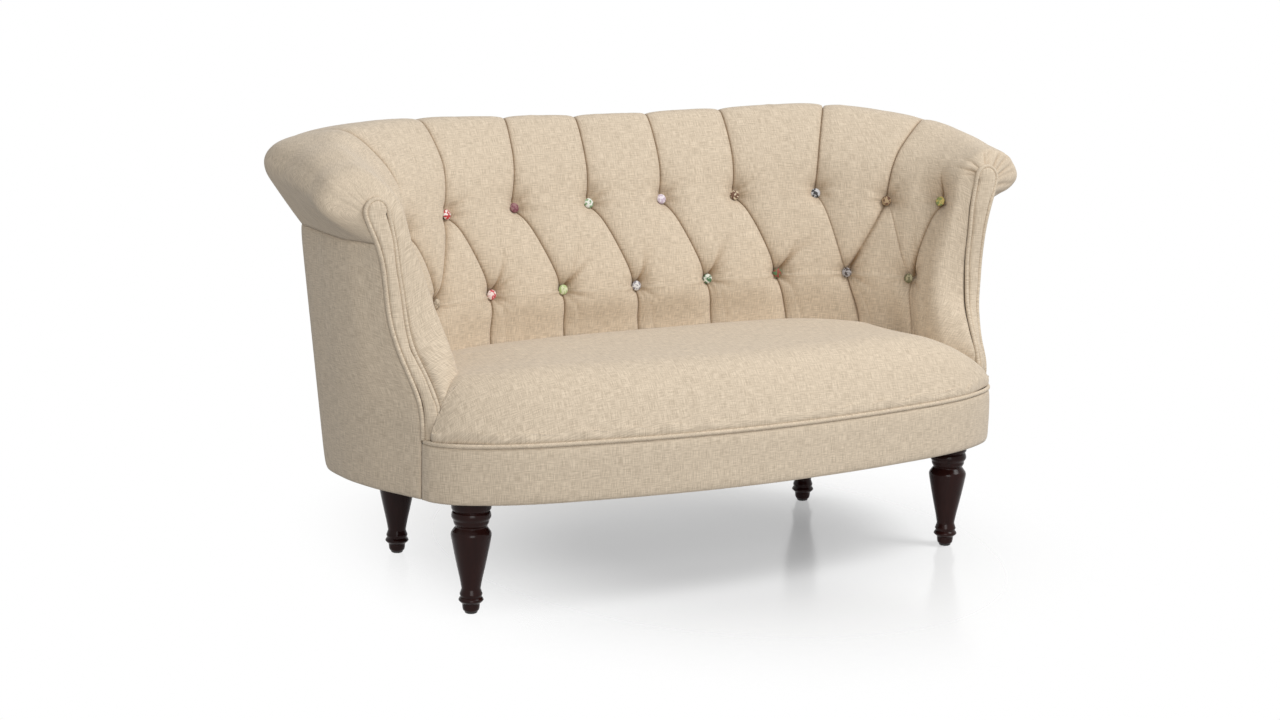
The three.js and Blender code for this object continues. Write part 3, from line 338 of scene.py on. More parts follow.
front_stops = np.array([0, 0.284, 0.569, 0.711, 0.823, 0.906, 0.958, 1])
front_line = placed([
    (0, -0.99), (0.249, -0.962), (0.498, -0.889), (0.623, -0.825),
    (0.708, -0.746), (0.764, -0.665), (0.793, -0.577), (0.801, -0.496),
])[:, :2]


def cubic(t, start, end, leaving, arriving):
    return (start * (2 * t**3 - 3 * t**2 + 1) + end * (3 * t**2 - 2 * t**3)
            + leaving * (t**3 - 2 * t**2 + t) + arriving * (t**3 - t**2))


def through(stops, rows, at):
    """A smooth line through given rows at uneven stops, for many places at once."""
    stops, rows, at = np.asarray(stops, float), np.asarray(rows, float), np.asarray(at, float)
    i = np.clip(np.searchsorted(stops, at, side="right") - 1, 0, len(stops) - 2)
    slopes = np.empty_like(rows)
    spans = np.diff(stops).reshape(-1, *[1] * (rows.ndim - 1))
    steps = np.diff(rows, axis=0) / spans
    slopes[0], slopes[-1] = steps[0], steps[-1]
    slopes[1:-1] = (rows[2:] - rows[:-2]) / (spans[1:] + spans[:-1])
    shape = [-1] + [1] * (rows.ndim - 1)
    span = (stops[i + 1] - stops[i]).reshape(shape)
    t = (at - stops[i]).reshape(shape) / span
    return cubic(t, rows[i], rows[i + 1], span * slopes[i], span * slopes[i + 1])


def both_halves(stops, rows):
    """The half plan mirrored into a whole one."""
    flipped = rows[:0:-1].copy()
    flipped[..., 0] *= -1
    return np.concatenate([-stops[:0:-1], stops]), np.concatenate([flipped, rows])


def edge_at(values, height):
    return np.interp(height, facing_heights, values)


def soft_edge(values, height):
    height = np.clip(height, facing_heights[0], facing_heights[-1])
    return through(facing_heights, values, np.ravel(height)).reshape(np.shape(height))


def face_depth(x, height, edge=edge_at):
    inner, outer = edge(facing_inner, height), edge(facing_outer, height)
    share = np.clip((x - inner) / (outer - inner), 0, 1)
    return edge(inner_depth, height) + share * (edge(outer_depth, height) - edge(inner_depth, height))


def wall_columns(share):
    """Plan of the outside wall at shares of its height; its last stretch runs straight to the arm front."""
    share = np.asarray(share, float)[:, None, None]
    rows = wall_foot + (roll_joint - wall_foot) * share
    height = base_height + share[:, 0, 0] * (neck_height - base_height)
    end_x, end_y = edge_at(facing_outer, height) + wall_reach, edge_at(outer_depth, height) + wall_setback
    end = np.stack([end_x, end_y, height], 1)[:, None]
    last = rows[:, -1:] + (end - rows[:, -1:]) * front_share
    return np.concatenate([rows, last, end], 1)


def ring_faces(rows, columns):
    """Faces between closed rings of points, one ring for each row."""
    i, j = np.meshgrid(np.arange(rows - 1), np.arange(columns), indexing="ij")
    low, high, beside = i * columns, (i + 1) * columns, (j + 1) % columns
    return list(np.stack([low + j, high + j, high + beside, low + beside], -1).reshape(-1, 4))


def lengths(points, axis):
    """Distance run along one way of a grid of points."""
    steps = np.linalg.norm(np.diff(points, axis=axis), axis=-1)
    run = np.cumsum(steps, axis=axis)
    pad = [(0, 0)] * run.ndim
    pad[axis] = (1, 0)
    return np.pad(run, pad)


def outward(piece):
    """Turns every face of a closed piece outwards."""
    body = bmesh.new()
    body.from_mesh(piece.data)
    bmesh.ops.recalc_face_normals(body, faces=body.faces)
    body.to_mesh(piece.data)
    body.free()


def finish_cover(piece, node, material=None):
    piece.data.materials.append(material or linen)
    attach(piece, "root")
    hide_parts(node)


# The padding's own sizes: margins at the arm fronts, the buttons' rows and hollows, folds and fine grid.
end_margin, head_margin, core_margin = 5.0, 1.6, 6.0
end_rows = np.arange(-3, 11.0)
end_heights = np.array([pad_bottom, *facing_heights[[3, 5, 7, 9, 11, 12, 13]]])
head_turns = np.radians([150, 95, 45, 5, -35])
high_row, last_button = 3, 9
hollow_depth, hollow_reach = 24.0, 20.0
lean_left, lean_right = 11.0, -15.0
pleat_depth, short_pleat_depth, skirt_pleat_depth = 7.6, 8.0, 5.0
pleat_shoulder_left, pleat_shoulder_right = 7.0, 11.0
crown_height, puff_reach = 9.0, 24
cheek_height, low_cheek_height = 12.0, 24.0
ruck_height, drag_height, drag_count = 2.3, 0.9, 70
gather_from, gather_step, gather_count = 4.4, 0.52, 11
ruck_width, ruck_spread, ruck_from, ruck_to = 2.4, 0.06, 6, 15
curl_depth, curl_forward = 2.0, 6.9
pad_depth, end_pad_depth, least_pad_depth = 7, 25, 5
# The grid crowds beside each pleat; the rows come as spans with their first, last and number of rows.
near_pleat = np.array([0.5, 1.1, 2, 3.2, 4.6, 6.2, 8, 10, 12.2, 14.6, 17.2, 20, 23, 26, 29.2, 32.5,
                       36, 40, 44, 48.5, 53.5, 59, 65, 72]) / 80
row_spans = [(-3, -2, 5), (-2, 0, 30), (0, 3, 58), (3, 7, 84), (7, 10, 44)]


def end_line():
    """Where the rows of the padding meet the arm front; round the head they touch the piping."""
    x = edge_at(facing_inner, end_heights)
    low = np.stack([x - end_margin, face_depth(x, end_heights) + core_margin, end_heights], 1)
    reach = head_radius + head_margin
    x, z = head_centre[0] + reach * np.cos(head_turns), head_centre[1] + reach * np.sin(head_turns)
    head = np.stack([x, face_depth(x, z) + core_margin, z], 1)
    neck = edge_at(facing_outer, neck_height)
    last = np.array([[neck + end_margin, face_depth(neck, neck_height) + core_margin, neck_height]])
    return np.concatenate([low, head, last])


def inside_rows(rows):
    """The padding's columns at any row, before they are joined across."""
    joint = wall_columns([1.0])[0, :-1]
    lines = np.concatenate([level_lines, joint[None]])
    low = lines[:1].copy()
    low[..., 2] = pad_bottom
    lines, stops = np.concatenate([low, lines]), np.concatenate([[-3.0], level_stops])
    columns = through(stops, lines, rows)
    return np.concatenate([columns, through(end_rows, end_line(), rows)[:, None]], 1)


def smooth_step(low, high, value):
    t = np.clip((value - low) / (high - low), 0, 1)
    return t * t * (3 - 2 * t)


def inside_points(place, rows):
    """Points of the undimpled padding; the left arm is stuffed a little fuller than the right one."""
    stops, columns = both_halves(column_stops, inside_rows(rows).transpose(1, 0, 2))
    points = np.stack([through(stops, columns[:, j], place[:, j]) for j in range(len(rows))], 1)
    out = np.abs(place)
    arm = smooth_step(4.5, 7.5, out) * (1 - smooth_step(np.where(place < 0, 8.4, 9.3), 10, out))
    lean = np.where(place < 0, lean_left, lean_right) * arm
    points[..., 2] += lean * smooth_step(3.6, 6.2, rows)[None] * (1 - smooth_step(9.2, 10, rows))[None]
    return points


def normals_of(points):
    along, up = np.gradient(points, axis=0), np.gradient(points, axis=1)
    square = np.cross(along, up)
    return square / np.maximum(np.linalg.norm(square, axis=-1, keepdims=True), 1e-9)


def pleat_columns():
    """Columns that crowd towards the pleats, and stand close where the arms curve."""
    columns = [0.0, *np.arange(-10, 11, 2.0), *np.arange(9.3, 10, 0.035), *-np.arange(9.3, 10, 0.035)]
    for high in range(-last_button, last_button + 1, 2):
        columns += [high, *(high + near_pleat), *(high - near_pleat)]
    columns += [*np.arange(-7, -5, 0.035), *np.arange(5, 9, 0.035)]
    columns = np.unique(np.round(columns, 4))
    keep = np.concatenate([[True], np.diff(columns) > 0.004])
    return columns[keep & (np.abs(columns) <= 10)]


column = pleat_columns()
rows = np.concatenate([np.linspace(low, high, steps)[:-1] for low, high, steps in row_spans] + [[10.0]])
row = np.broadcast_to(rows, (len(column), len(rows)))
fall = np.clip((high_row - row) / high_row, 0, 1)
follow = (smooth_step(-10, -9, column) * (1 - smooth_step(7, 10, column)))[:, None]
place = column[:, None] + follow * fall**0.82
place = place + follow * 0.12 * np.clip(-row / 2, 0, 1.5)
place = place + 0.4 * np.exp(-((column[:, None] + 5) / 2.1) ** 2) * smooth_step(3.2, 7, row)
place = np.clip(place, -10, 10)
base = inside_points(place, rows)
normal = normals_of(base)
plain_stops = np.linspace(-10, 10, 81)
plain = inside_points(np.repeat(plain_stops[:, None], len(rows), 1), rows)
plain_across, plain_up = lengths(plain, 0), lengths(plain, 1)
plain_across = plain_across - plain_across[40]
run_across, run_up, per_column, per_row = [
    np.stack([np.interp(place[:, j], plain_stops, values[:, j]) for j in range(len(rows))], 1)
    for values in (plain_across, plain_up, np.gradient(plain_across, plain_stops, axis=0),
                   np.gradient(plain_up, rows, axis=1))]

sink = np.zeros_like(place)
nearest = np.full_like(place, 1e3)
dice = random.Random(11)


def pleat(middle, strength, slit=1.0, depth=pleat_depth):
    """A fold along a line of the cover: a narrow slit with a soft shoulder on each side of it."""
    distance = (place - middle) * per_column
    shoulder = np.where(distance < 0, pleat_shoulder_left, pleat_shoulder_right)
    away = np.abs(distance)
    here = depth * strength * (0.6 * np.exp(-away / slit) + 0.4 * np.exp(-away / shoulder))
    np.maximum(sink, here, out=sink)
    np.minimum(nearest, away + 40 * (1 - np.clip(strength, 0, 1)), out=nearest)


for high in range(-last_button, last_button + 1, 2):
    line = place[int(np.argmin(np.abs(column - high)))][None]
    over = smooth_step(2.95, 3.3, row) * (1 - 0.8 * smooth_step(7.2, 9.4, row))
    if high == last_button:
        over = over * (1 - smooth_step(3.5, 4.7, row))
    if high <= -7:
        over = over * smooth_step(4.0, 5.4, row) * (high + 9) / 2
    inside = smooth_step(-0.06, 0.04, (high_row - row) / high_row) * (row <= high_row) * (row >= 0)
    skirt = smooth_step(0.0, -0.2, row) * (1 - 0.35 * smooth_step(-1.6, -3, row))
    right = {5: 0.6, 7: 0.35, 9: 0.0}.get(high, 1.0)
    pleat(line, over + inside * right + skirt * min(right * 2, 1))
    if high > -last_button:
        left = 0.5 * (1 - smooth_step(0.2, 2.0, row)) + 0.04
        strong = 1.0 if high >= 7 or high <= -5 else left
        bend, slit = (0.9, 2.6) if high < 5 else (1.25, 1.4)
        pleat(high - fall**bend, inside * strong * (row > 0.02), slit, short_pleat_depth)
for low in range(1 - last_button, last_button, 2):
    down = smooth_step(-0.08, -0.5, row)
    pleat(low + 0.16 + 0.34 * np.clip(-row / 2, 0, 2) ** 0.8, down * 0.32, 2.4, skirt_pleat_depth)

puff = 1 - np.exp(-nearest / puff_reach)
crown = crown_height * (puff - 0.8) * smooth_step(-3, -1.4, row) * (1 - 0.7 * smooth_step(3.6, 5.2, row))
crown *= 1 - smooth_step(7, 9.6, row)
crown *= 1 - smooth_step(9.3, 10, np.abs(place))
fuller = np.where(place < 0, 1.0, 0.2)
cheek = cheek_height * np.exp(-((np.abs(place) - 9.55) / 0.42) ** 2)
cheek *= smooth_step(-1.8, 0.2, row) * (1 - smooth_step(4.2, 6.5, row))
cheek += low_cheek_height * np.exp(-((np.abs(place) - 9.7) / 0.4) ** 2 - ((row + 1.5) / 1.3) ** 2)
cheek *= fuller

hollow = np.zeros_like(place)
ruck = np.zeros_like(place)
# Rucks that run out from a button: direction in degrees, reach in millimetres and share of the height.
spokes_high = [(38, 27, 1.6), (14, 24, 1.5), (-16, 20, 1.0), (62, 22, 0.8), (160, 16, 0.7), (205, 15, 0.6)]
spokes_low = [(63, 50, 2.5), (47, 36, 1.9), (28, 24, 1.2), (-30, 30, 1.8), (-8, 22, 1.2), (-58, 30, 1.2),
              (198, 16, 0.7)]
buttons = [(f"button_top_{k + 1}", 2 * k - last_button, high_row) for k in range(last_button + 1)]
buttons += [(f"button_low_{k + 1}", 2 * k + 1 - last_button, 0) for k in range(last_button)]
button_spots = {}
for name, at, line in buttons:
    level_row = int(np.argmin(np.abs(rows - line)))
    across_row = int(np.argmin(np.abs(place[:, level_row] - at)))
    button_spots[name] = (across_row, level_row)
    near_x = run_across - run_across[across_row, level_row]
    near_y = run_up - run_up[across_row, level_row]
    away = np.hypot(near_x, near_y)
    hollow = np.maximum(hollow, hollow_depth * np.exp(-(away / hollow_reach) ** 1.25))
    for degrees, reach, height in spokes_high if line else spokes_low:
        direction = math.radians(degrees + dice.uniform(-6, 6))
        if at < -5:
            direction = math.pi - direction
        bend = dice.uniform(-0.004, 0.004)
        ahead_of = near_x * math.cos(direction) + near_y * math.sin(direction)
        offset = near_y * math.cos(direction) - near_x * math.sin(direction) + bend * ahead_of**2
        width = ruck_width + ruck_spread * away
        fold = np.exp(-(offset / width) ** 2) * (ahead_of > 0)
        long = reach * dice.uniform(1.0, 1.35)
        faded = smooth_step(ruck_from, ruck_to, away) * np.exp(-((ahead_of / long) ** 2))
        ruck -= ruck_height * height * fold * faded

drag = np.zeros_like(place)
for _ in range(drag_count):
    at, line = dice.uniform(-9.6, 9.6), dice.uniform(-1.5, 7.5)
    tilt, long, wide = dice.uniform(-0.12, 0.12), dice.uniform(0.7, 1.9), dice.uniform(3.5, 8)
    height = dice.uniform(-drag_height, drag_height) * (1.6 if 5 < at < 8 else 1.0)
    offset = (place - at - tilt * (row - line)) * per_column
    drag += height * np.exp(-(offset / wide) ** 2 - ((row - line) / long) ** 2)

gather = np.zeros_like(place)
for k in range(gather_count):
    at = gather_from + k * gather_step + dice.uniform(-0.16, 0.16)
    out = smooth_step(9.1 + dice.uniform(0.0, 0.4), 9.95, np.abs(place))
    offset = (row - at) * per_row
    crease = np.where(place < 0, 0.8, 2.4) * dice.uniform(0.7, 1.6)
    gather += crease * out * np.exp(-(np.abs(offset) / dice.uniform(2.4, 4.4)) ** 1.2)
gather *= smooth_step(3.8, 4.8, row) * (1 - smooth_step(9.7, 10, row))

move = crown + cheek + ruck + drag - sink * smooth_step(30, 14, hollow) - hollow - gather
move *= 1 - smooth_step(9.95, 10, np.abs(place)) * 0.6
move *= smooth_step(-3.0, -2.6, row)
outer = base + normal * move[..., None]
curl = smooth_step(9.74, 9.99, np.abs(place)) * smooth_step(-3.0, -2.0, row)
outer -= normal * curl_depth * curl[..., None]
outer[..., 1] -= curl_forward * curl

back_step = 8
depth = pad_depth + end_pad_depth * np.clip((10 - np.abs(place)) / 0.45, 0, 1)
depth = np.maximum(depth * (1 - 0.55 * smooth_step(6, 10, row)), least_pad_depth)
back = (base - normal * depth[..., None])[:, ::-1][:, ::back_step]
ring = np.concatenate([outer, back], 1)
count, back_count, row_count = ring.shape[1], back.shape[1], len(rows)
faces = ring_faces(len(column), count)
left_over = (row_count - 1) % back_step
for end in (0, len(column) - 1):
    start = end * count
    fans = []
    for k in range(back_count - 1):
        high = row_count - 1 - k * back_step
        front_side = range(high, high - back_step - 1, -1)
        fans.append([row_count + k, *front_side, row_count + k + 1])
    if left_over:
        fans.append([count - 1, *range(left_over, -1, -1)])
    faces += [[start + j for j in (fan if end else fan[::-1])] for fan in fans]
tufted = mesh_piece("tufted_inside_cover", ring.reshape(-1, 3) * millimetre, faces)
outward(tufted)
laid = [np.concatenate([run, run[:, ::-1][:, ::back_step]], 1) for run in (run_across, run_up)]
lay_cloth(tufted, *laid)
# Painted shade: darker colour in the pleats, rucks and button hollows, and in the right arm's gathers.
painted_shade_in_folds = 0.75 * np.clip(sink / 6, 0, 1) ** 1.5 + 0.6 * np.clip(-ruck / 7, 0, 1)
painted_shade_in_folds += 0.55 * (hollow / hollow_depth) ** 1.4 + 0.5 * np.clip(gather / 4, 0, 1) ** 1.3 * (place > 0)
painted_shade_in_folds = np.concatenate([np.clip(painted_shade_in_folds, 0, 1), np.zeros(back.shape[:2])], 1).astype(np.float32)
tufted.data.attributes.new("fold", "FLOAT", "POINT").data.foreach_set("value", painted_shade_in_folds.ravel())
finish_cover(tufted, "tufted_inside")

# Buttons
# Small moulded buttons covered in printed cotton, each in colours of its own: ten above and nine below.
# The twine through the stuffing holds the rim of each one down in its hollow.
button_radius, dome_rise, rim_ripple = 9.8, 4.4, 0.018
button_prints = [
    ((0.16, 0.05, 0.08), (0.55, 0.42, 0.40), "print_plum"),
    ((0.62, 0.58, 0.54), (0.25, 0.20, 0.18), "print_pale"),
    ((0.45, 0.03, 0.03), (0.80, 0.74, 0.70), "print_red"),
    ((0.17, 0.045, 0.065), (0.27, 0.13, 0.13), "print_plum"),
    ((0.72, 0.72, 0.66), (0.20, 0.33, 0.16), "print_pale"),
    ((0.52, 0.42, 0.50), (0.74, 0.68, 0.72), "print_pale"),
    ((0.62, 0.52, 0.36), (0.13, 0.06, 0.03), "print_tan"),
    ((0.03, 0.03, 0.03), (0.55, 0.55, 0.56), "print_dark"),
    ((0.13, 0.06, 0.03), (0.42, 0.30, 0.17), "print_tan"),
    ((0.24, 0.30, 0.10), (0.62, 0.50, 0.16), "print_green"),
    ((0.30, 0.20, 0.12), (0.60, 0.48, 0.34), "print_tan"),
    ((0.30, 0.24, 0.17), (0.52, 0.43, 0.32), "print_tan"),
    ((0.52, 0.06, 0.07), (0.80, 0.66, 0.62), "print_red"),
    ((0.36, 0.46, 0.18), (0.62, 0.64, 0.42), "print_green"),
    ((0.68, 0.66, 0.64), (0.24, 0.22, 0.24), "print_pale"),
    ((0.66, 0.66, 0.58), (0.07, 0.16, 0.07), "print_green"),
    ((0.24, 0.05, 0.03), (0.08, 0.16, 0.06), "print_red"),
    ((0.05, 0.035, 0.03), (0.38, 0.36, 0.36), "print_dark"),
    ((0.16, 0.15, 0.08), (0.40, 0.36, 0.22), "print_green"),
]


def print_group():
    """Cotton printed in small soft blots of a second colour."""
    inputs = {"Place": "Vector", "Ground": "Color", "Blot": "Color"}
    outputs = {"Colour": "Color", "Height": "Float"}
    group, given, result = new_group("blot_print", "ShaderNodeTree", inputs, outputs)
    blots = add_node(group, "ShaderNodeTexNoise", {"Vector": given["Place"], "Scale": 190, "Detail": 1.5})
    edge = add_node(group, "ShaderNodeValToRGB", {"Fac": blots.outputs["Fac"]})
    edge.color_ramp.elements[0].position, edge.color_ramp.elements[1].position = 0.47, 0.53
    yarns = add_node(group, "ShaderNodeTexNoise", {"Vector": given["Place"], "Scale": 2600})
    colour = two_tones(group, edge.outputs["Color"], given["Ground"], given["Blot"])
    set_inputs(group, result, {"Colour": colour, "Height": yarns.outputs["Fac"]})
    return group


def turned_piece(name, profile, sides, spot):
    """A closed piece from a profile of radii and heights; spot places a radius, an angle and a height."""
    points = [spot(0, 0, profile[0][1])]
    for radius, height in profile[1:-1]:
        points += [spot(radius, 2 * math.pi * k / sides, height) for k in range(sides)]
    points.append(spot(0, 0, profile[-1][1]))
    rings = range(1, len(points) - 1, sides)
    faces = []
    for k in range(sides):
        j = (k + 1) % sides
        faces.append((0, 1 + j, 1 + k))
        faces += [(low + k, low + j, high + j, high + k) for low, high in zip(rings, rings[1:])]
        faces.append((rings[-1] + k, rings[-1] + j, len(points) - 1))
    piece = mesh_piece(name, points, faces)
    outward(piece)
    return piece


blot_print = print_group()
dome_foot, button_sides = -1.2, 28
button_profile = [(0.0, -3.2), (0.80, -3.2), (0.97, -2.4), (1.0, dome_foot)]
dome_turns = np.linspace(0.12, math.pi / 2, 9)
button_profile += [(math.cos(t), dome_foot + dome_rise * math.sin(t)) for t in dome_turns]
for (name, spot_at), (ground, blot, slot_name) in zip(button_spots.items(), button_prints):
    facing = Vector(normal[spot_at])
    low_corner, high_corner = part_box(name)
    middle = (low_corner + high_corner) / 2
    side = facing.orthogonal().normalized()
    other = facing.cross(side)

    def on_button(share, angle, height):
        ripple = 1 - rim_ripple * (share > 0.9) * math.cos(9 * angle)
        spoke = (side * math.cos(angle) + other * math.sin(angle)) * share * ripple * button_radius
        return middle + (spoke + facing * height) * millimetre

    button = turned_piece(f"{name}_covered", button_profile, button_sides, on_button)
    material, tree, shader = new_material(f"{name}_cotton", {"Roughness": 0.7, "Sheen Weight": 0.1})
    where = add_node(tree, "ShaderNodeTexCoord")
    cotton = add_node(tree, "ShaderNodeGroup", node_tree=blot_print, values={
        "Place": where.outputs["Object"], "Ground": (*ground, 1), "Blot": (*blot, 1)})
    set_inputs(tree, shader, {"Base Color": cotton.outputs["Colour"]})
    add_bump(tree, shader, cotton.outputs["Height"], 0.15, 0.0003)
    finish_cover(button, name, material)

# Outside panels
# Linen stretched over card on the outside of the arms and back, from the roll down to the seat frame.
# The two seams stand behind the arms; the foot is turned under the frame and tacked.
skin, edge_gap = 4.0, 0.3
seam_stop, seam_half = 17 / 3, 0.003
panel_rows, arm_steps, back_steps = 90, 150, 240
arm_swell, back_swell, rim_drop = 2.6, 3.2, 1.0
swell_reach, rim_reach = 14, 2.5


def slab(name, node, face, rear, across, along, side=1):
    """A thin closed cover of linen between two grids of points; a side of -1 mirrors it."""
    steps, rows = face.shape[:2]
    ring = np.concatenate([face, rear[:, ::-1]], 1)
    count = 2 * rows
    faces = ring_faces(steps, count)
    for start in (0, (steps - 1) * count):
        last = start + count - 1
        faces += [(start + k, start + k + 1, last - 1 - k, last - k) for k in range(rows - 1)]
    piece = mesh_piece(name, ring.reshape(-1, 3) * (side, 1, 1) * millimetre, faces)
    outward(piece)
    lay_cloth(piece, *[np.concatenate([run, run[:, ::-1]], 1) for run in (across, along)])
    finish_cover(piece, node)


def outside_panel(name, node, start, end, steps, swell):
    shares = np.linspace(0, 1 - edge_gap / (neck_height - base_height), panel_rows)
    whole_stops, whole = both_halves(column_stops, wall_columns(shares).transpose(1, 0, 2))
    face = through(whole_stops, whole, np.linspace(start, end, steps))
    inwards = -normals_of(face)
    middle = steps // 2, panel_rows // 2
    if np.dot(inwards[middle][:2], -face[middle][:2]) < 0:
        inwards = -inwards
    cross, rise = lengths(face, 0), lengths(face, 1)
    edge = np.minimum(np.minimum(cross, cross[-1:] - cross), np.minimum(rise, rise[:, -1:] - rise))
    puff_out = swell * (1 - np.exp(-edge / swell_reach)) - rim_drop * np.exp(-edge / rim_reach)
    slab(name, node, face - inwards * puff_out[..., None], face + inwards * skin, cross, rise)


seam_start, seam_end = seam_stop - seam_half, seam_stop + seam_half
outside_panel("outside_arm_right_panel", "outside_arm_right", seam_end, 10, arm_steps, arm_swell)
outside_panel("outside_arm_left_panel", "outside_arm_left", -10, -seam_end, arm_steps, arm_swell)
outside_panel("outside_back_panel", "outside_back", -seam_start, seam_start, back_steps, back_swell)

# Front border
# A boxed band of linen over the bowed front rail, below the piping of the seat.
# It is seamed to the outside arms and turned under the rail, so its foot is rounded and slightly slack.
welt_radius = 4.0
border_top = welt_height - welt_radius - edge_gap
border_swell, foot_pinch, top_pinch = 2.6, 1.5, 1.2
slack_height, slack_wave, slack_beat, side_reach = 0.7, 37, 83, 10
front_run = lengths(front_line, 0)[-1]
border_columns, border_rows = 280, 30


def front_points(travel, inset=0.0):
    """Plan of the bowed front from seam to seam, moved towards the inside by an inset."""
    stops, line = both_halves(front_stops, front_line)
    step = 0.001
    here, before, after = [through(stops, line, np.clip(travel + move, -1, 1)) for move in (0, -step, step)]
    way = after - before
    way /= np.linalg.norm(way, axis=1, keepdims=True)
    return here + np.stack([-way[:, 1], way[:, 0]], 1) * inset


travel = np.linspace(-1, 1, border_columns) * (1 - edge_gap / front_run)
line, inner_line = front_points(travel), front_points(travel, skin)
square = (line - inner_line) / skin
heights = np.linspace(base_height, border_top, border_rows)
share = (heights - base_height) / (border_top - base_height)
swell = border_swell * (1 - np.exp(-share * 12)) * (1 - np.exp(-(1 - share) * 9))
swell = swell - foot_pinch * np.exp(-share * 30) - top_pinch * np.exp(-(1 - share) * 25)
run = travel[:, None] * front_run + 0 * share
side_fade = 1 - np.exp(-(front_run - np.abs(run)) / side_reach)
slack = slack_height * np.sin(run / slack_wave + 1.2) * np.sin(run / slack_beat)
slack *= np.exp(-((share - 0.2) / 0.2) ** 2)
offset = (swell + slack) * side_fade
level_heights = 0 * run + heights
face = np.dstack([line[:, None] + square[:, None] * offset[..., None], level_heights])
rear = np.dstack([np.repeat(inner_line[:, None], border_rows, 1), level_heights])
slab("front_border_band", "front_border", face, rear, run, level_heights)

# Seat
# A tight seat: springs and stuffing under one linen cover, drawn down all round into a firm crown.
# Its front edge stands just above the piping; at the back and arms it is pushed down behind the padding.
seat_bottom, seat_top = pad_bottom - welt_radius, base_height + 0.369 * body_height
seat_centre = np.array([0.0, -0.204 * half_depth])
seat_margin, seat_front_edge, seat_tuck = 0.8, welt_height + 15, 6.6
rear_reach, front_reach, corner_reach = 160.0, 115.0, 40.0
left_drop, right_drop, rear_drop, right_fall = 16.0, 70.0, 25.0, 20.0
side_from, side_to, corner_from, corner_to, fall_from, fall_to = 400, 580, 430, 600, 280, 600
seat_corner = placed([
    (0.767, -0.65), (0.782, -0.614), (0.7935, -0.578), (0.79, -0.566), (0.766, -0.555),
])[:, :2]
seat_stops = np.array([9.7, 9.35, 9, 8.33, 7.67, 7, 6.33, 5.67, 5, 4, 3, 2, 1, 0])
ring_steps, outline_steps = ((52, 480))

seat_travel = np.linspace(0, 0.95 * front_stops[4], 20)
seat_front = front_points(seat_travel, seat_margin)
edge_line = inside_rows(np.array([-2.0]))[0]
stops, edge_rows = both_halves(column_stops, edge_line)
here = through(stops, edge_rows, seat_stops)
way = through(stops, edge_rows, seat_stops + 0.01) - through(stops, edge_rows, seat_stops - 0.01)
way /= np.linalg.norm(way[:, :2], axis=1, keepdims=True)
seat_rear = here[:, :2] + np.column_stack([way[:, 1], -way[:, 0]]) * seat_margin
half = np.concatenate([seat_front, seat_corner, seat_rear])
flipped = half[1:-1][::-1] * (-1, 1)
outline = np.concatenate([half, flipped, half[:1]])
travelled = lengths(outline, 0)
around = np.linspace(0, travelled[-1], outline_steps, endpoint=False)
outline = through(travelled, outline, around)
shares = 1 - np.linspace(0, 1, ring_steps, endpoint=False) ** 1.6


def nearest_distance(spots, line):
    return np.min([np.hypot(*(spots - point).T) for point in line], axis=0)


def eased(values, passes, reach):
    """Values round a closed ring, evened out with their neighbours that lie so many steps away."""
    for _ in range(passes):
        values = (np.roll(values, reach, axis=0) + 2 * values + np.roll(values, -reach, axis=0)) / 4
    return values


front_edge = front_points(np.linspace(-1, 1, 241), seat_margin)
rear_edge = outline[outline[:, 1] > seat_corner[-1, 1] + 1]
inner_outline = eased(outline, 30, outline_steps // 120)
rings = []
for share_out in shares:
    inner = smooth_step(1, 0.7, share_out)
    flat = seat_centre + share_out * (outline + inner * (inner_outline - outline) - seat_centre)
    from_front, from_rear = nearest_distance(flat, front_edge), nearest_distance(flat, rear_edge)
    side = smooth_step(side_from, side_to, np.abs(flat[:, 0]))
    drop = rear_drop + side * (np.where(flat[:, 0] < 0, left_drop, right_drop) - rear_drop)
    rear_share = (1 - np.clip(from_rear / rear_reach, 0, 1)) ** 1.5
    reach = front_reach + smooth_step(corner_from, corner_to, flat[:, 0]) * (corner_reach - front_reach)
    risen = 1 - (1 - np.clip(from_front / reach, 0, 1)) ** 3
    crown = seat_top - right_fall * smooth_step(fall_from, fall_to, flat[:, 0]) - drop * rear_share
    height = seat_front_edge + (crown - seat_front_edge) * risen
    rings.append(np.column_stack([flat, height]))
low_share = 1 - seat_tuck / (seat_centre[1] - front_line[0, 1])
# Under its front edge the cover goes down behind the piping: shares of the way out, and heights.
tuck = [(low_share - 0.002, seat_bottom), (low_share, welt_height + 0.5), (0.993, welt_height + 2),
        (0.9985, welt_height + 5), (1.001, welt_height + 9)]
lower = []
for share_out, height in tuck:
    flat = seat_centre + share_out * (outline - seat_centre)
    lower.append(np.column_stack([flat, np.minimum(np.full(outline_steps, height), rings[0][:, 2] - 0.5)]))
stack = np.concatenate([lower, rings])
points = np.concatenate([stack.reshape(-1, 3), [[*seat_centre, seat_top], [*seat_centre, seat_bottom]]])
faces = ring_faces(len(stack), outline_steps)
high, low = len(points) - 2, len(points) - 1
for k in range(outline_steps):
    j = (k + 1) % outline_steps
    faces += [(high - outline_steps + k, high - outline_steps + j, high), (j, k, low)]
seat = mesh_piece("seat_cushion_tight", points * millimetre, faces)
outward(seat)
lay_cloth(seat, points[:, 0], points[:, 1] + points[:, 2] * 0.6)
finish_cover(seat, "seat_pad")

# Piping
# Cord in a bias-cut strip of the same linen: one length along the foot of the seat front, and one round
# each arm front, up the outer edge, over the scroll and down the inner edge.
piping_sides, welt_inset, welt_end, forward = 14, 1.5, 6, 1.5
foot_outer, foot_inner = welt_height + 3.5, welt_height + 30
linen_bias = linen_material("oatmeal_linen_on_the_bias", math.pi / 4)


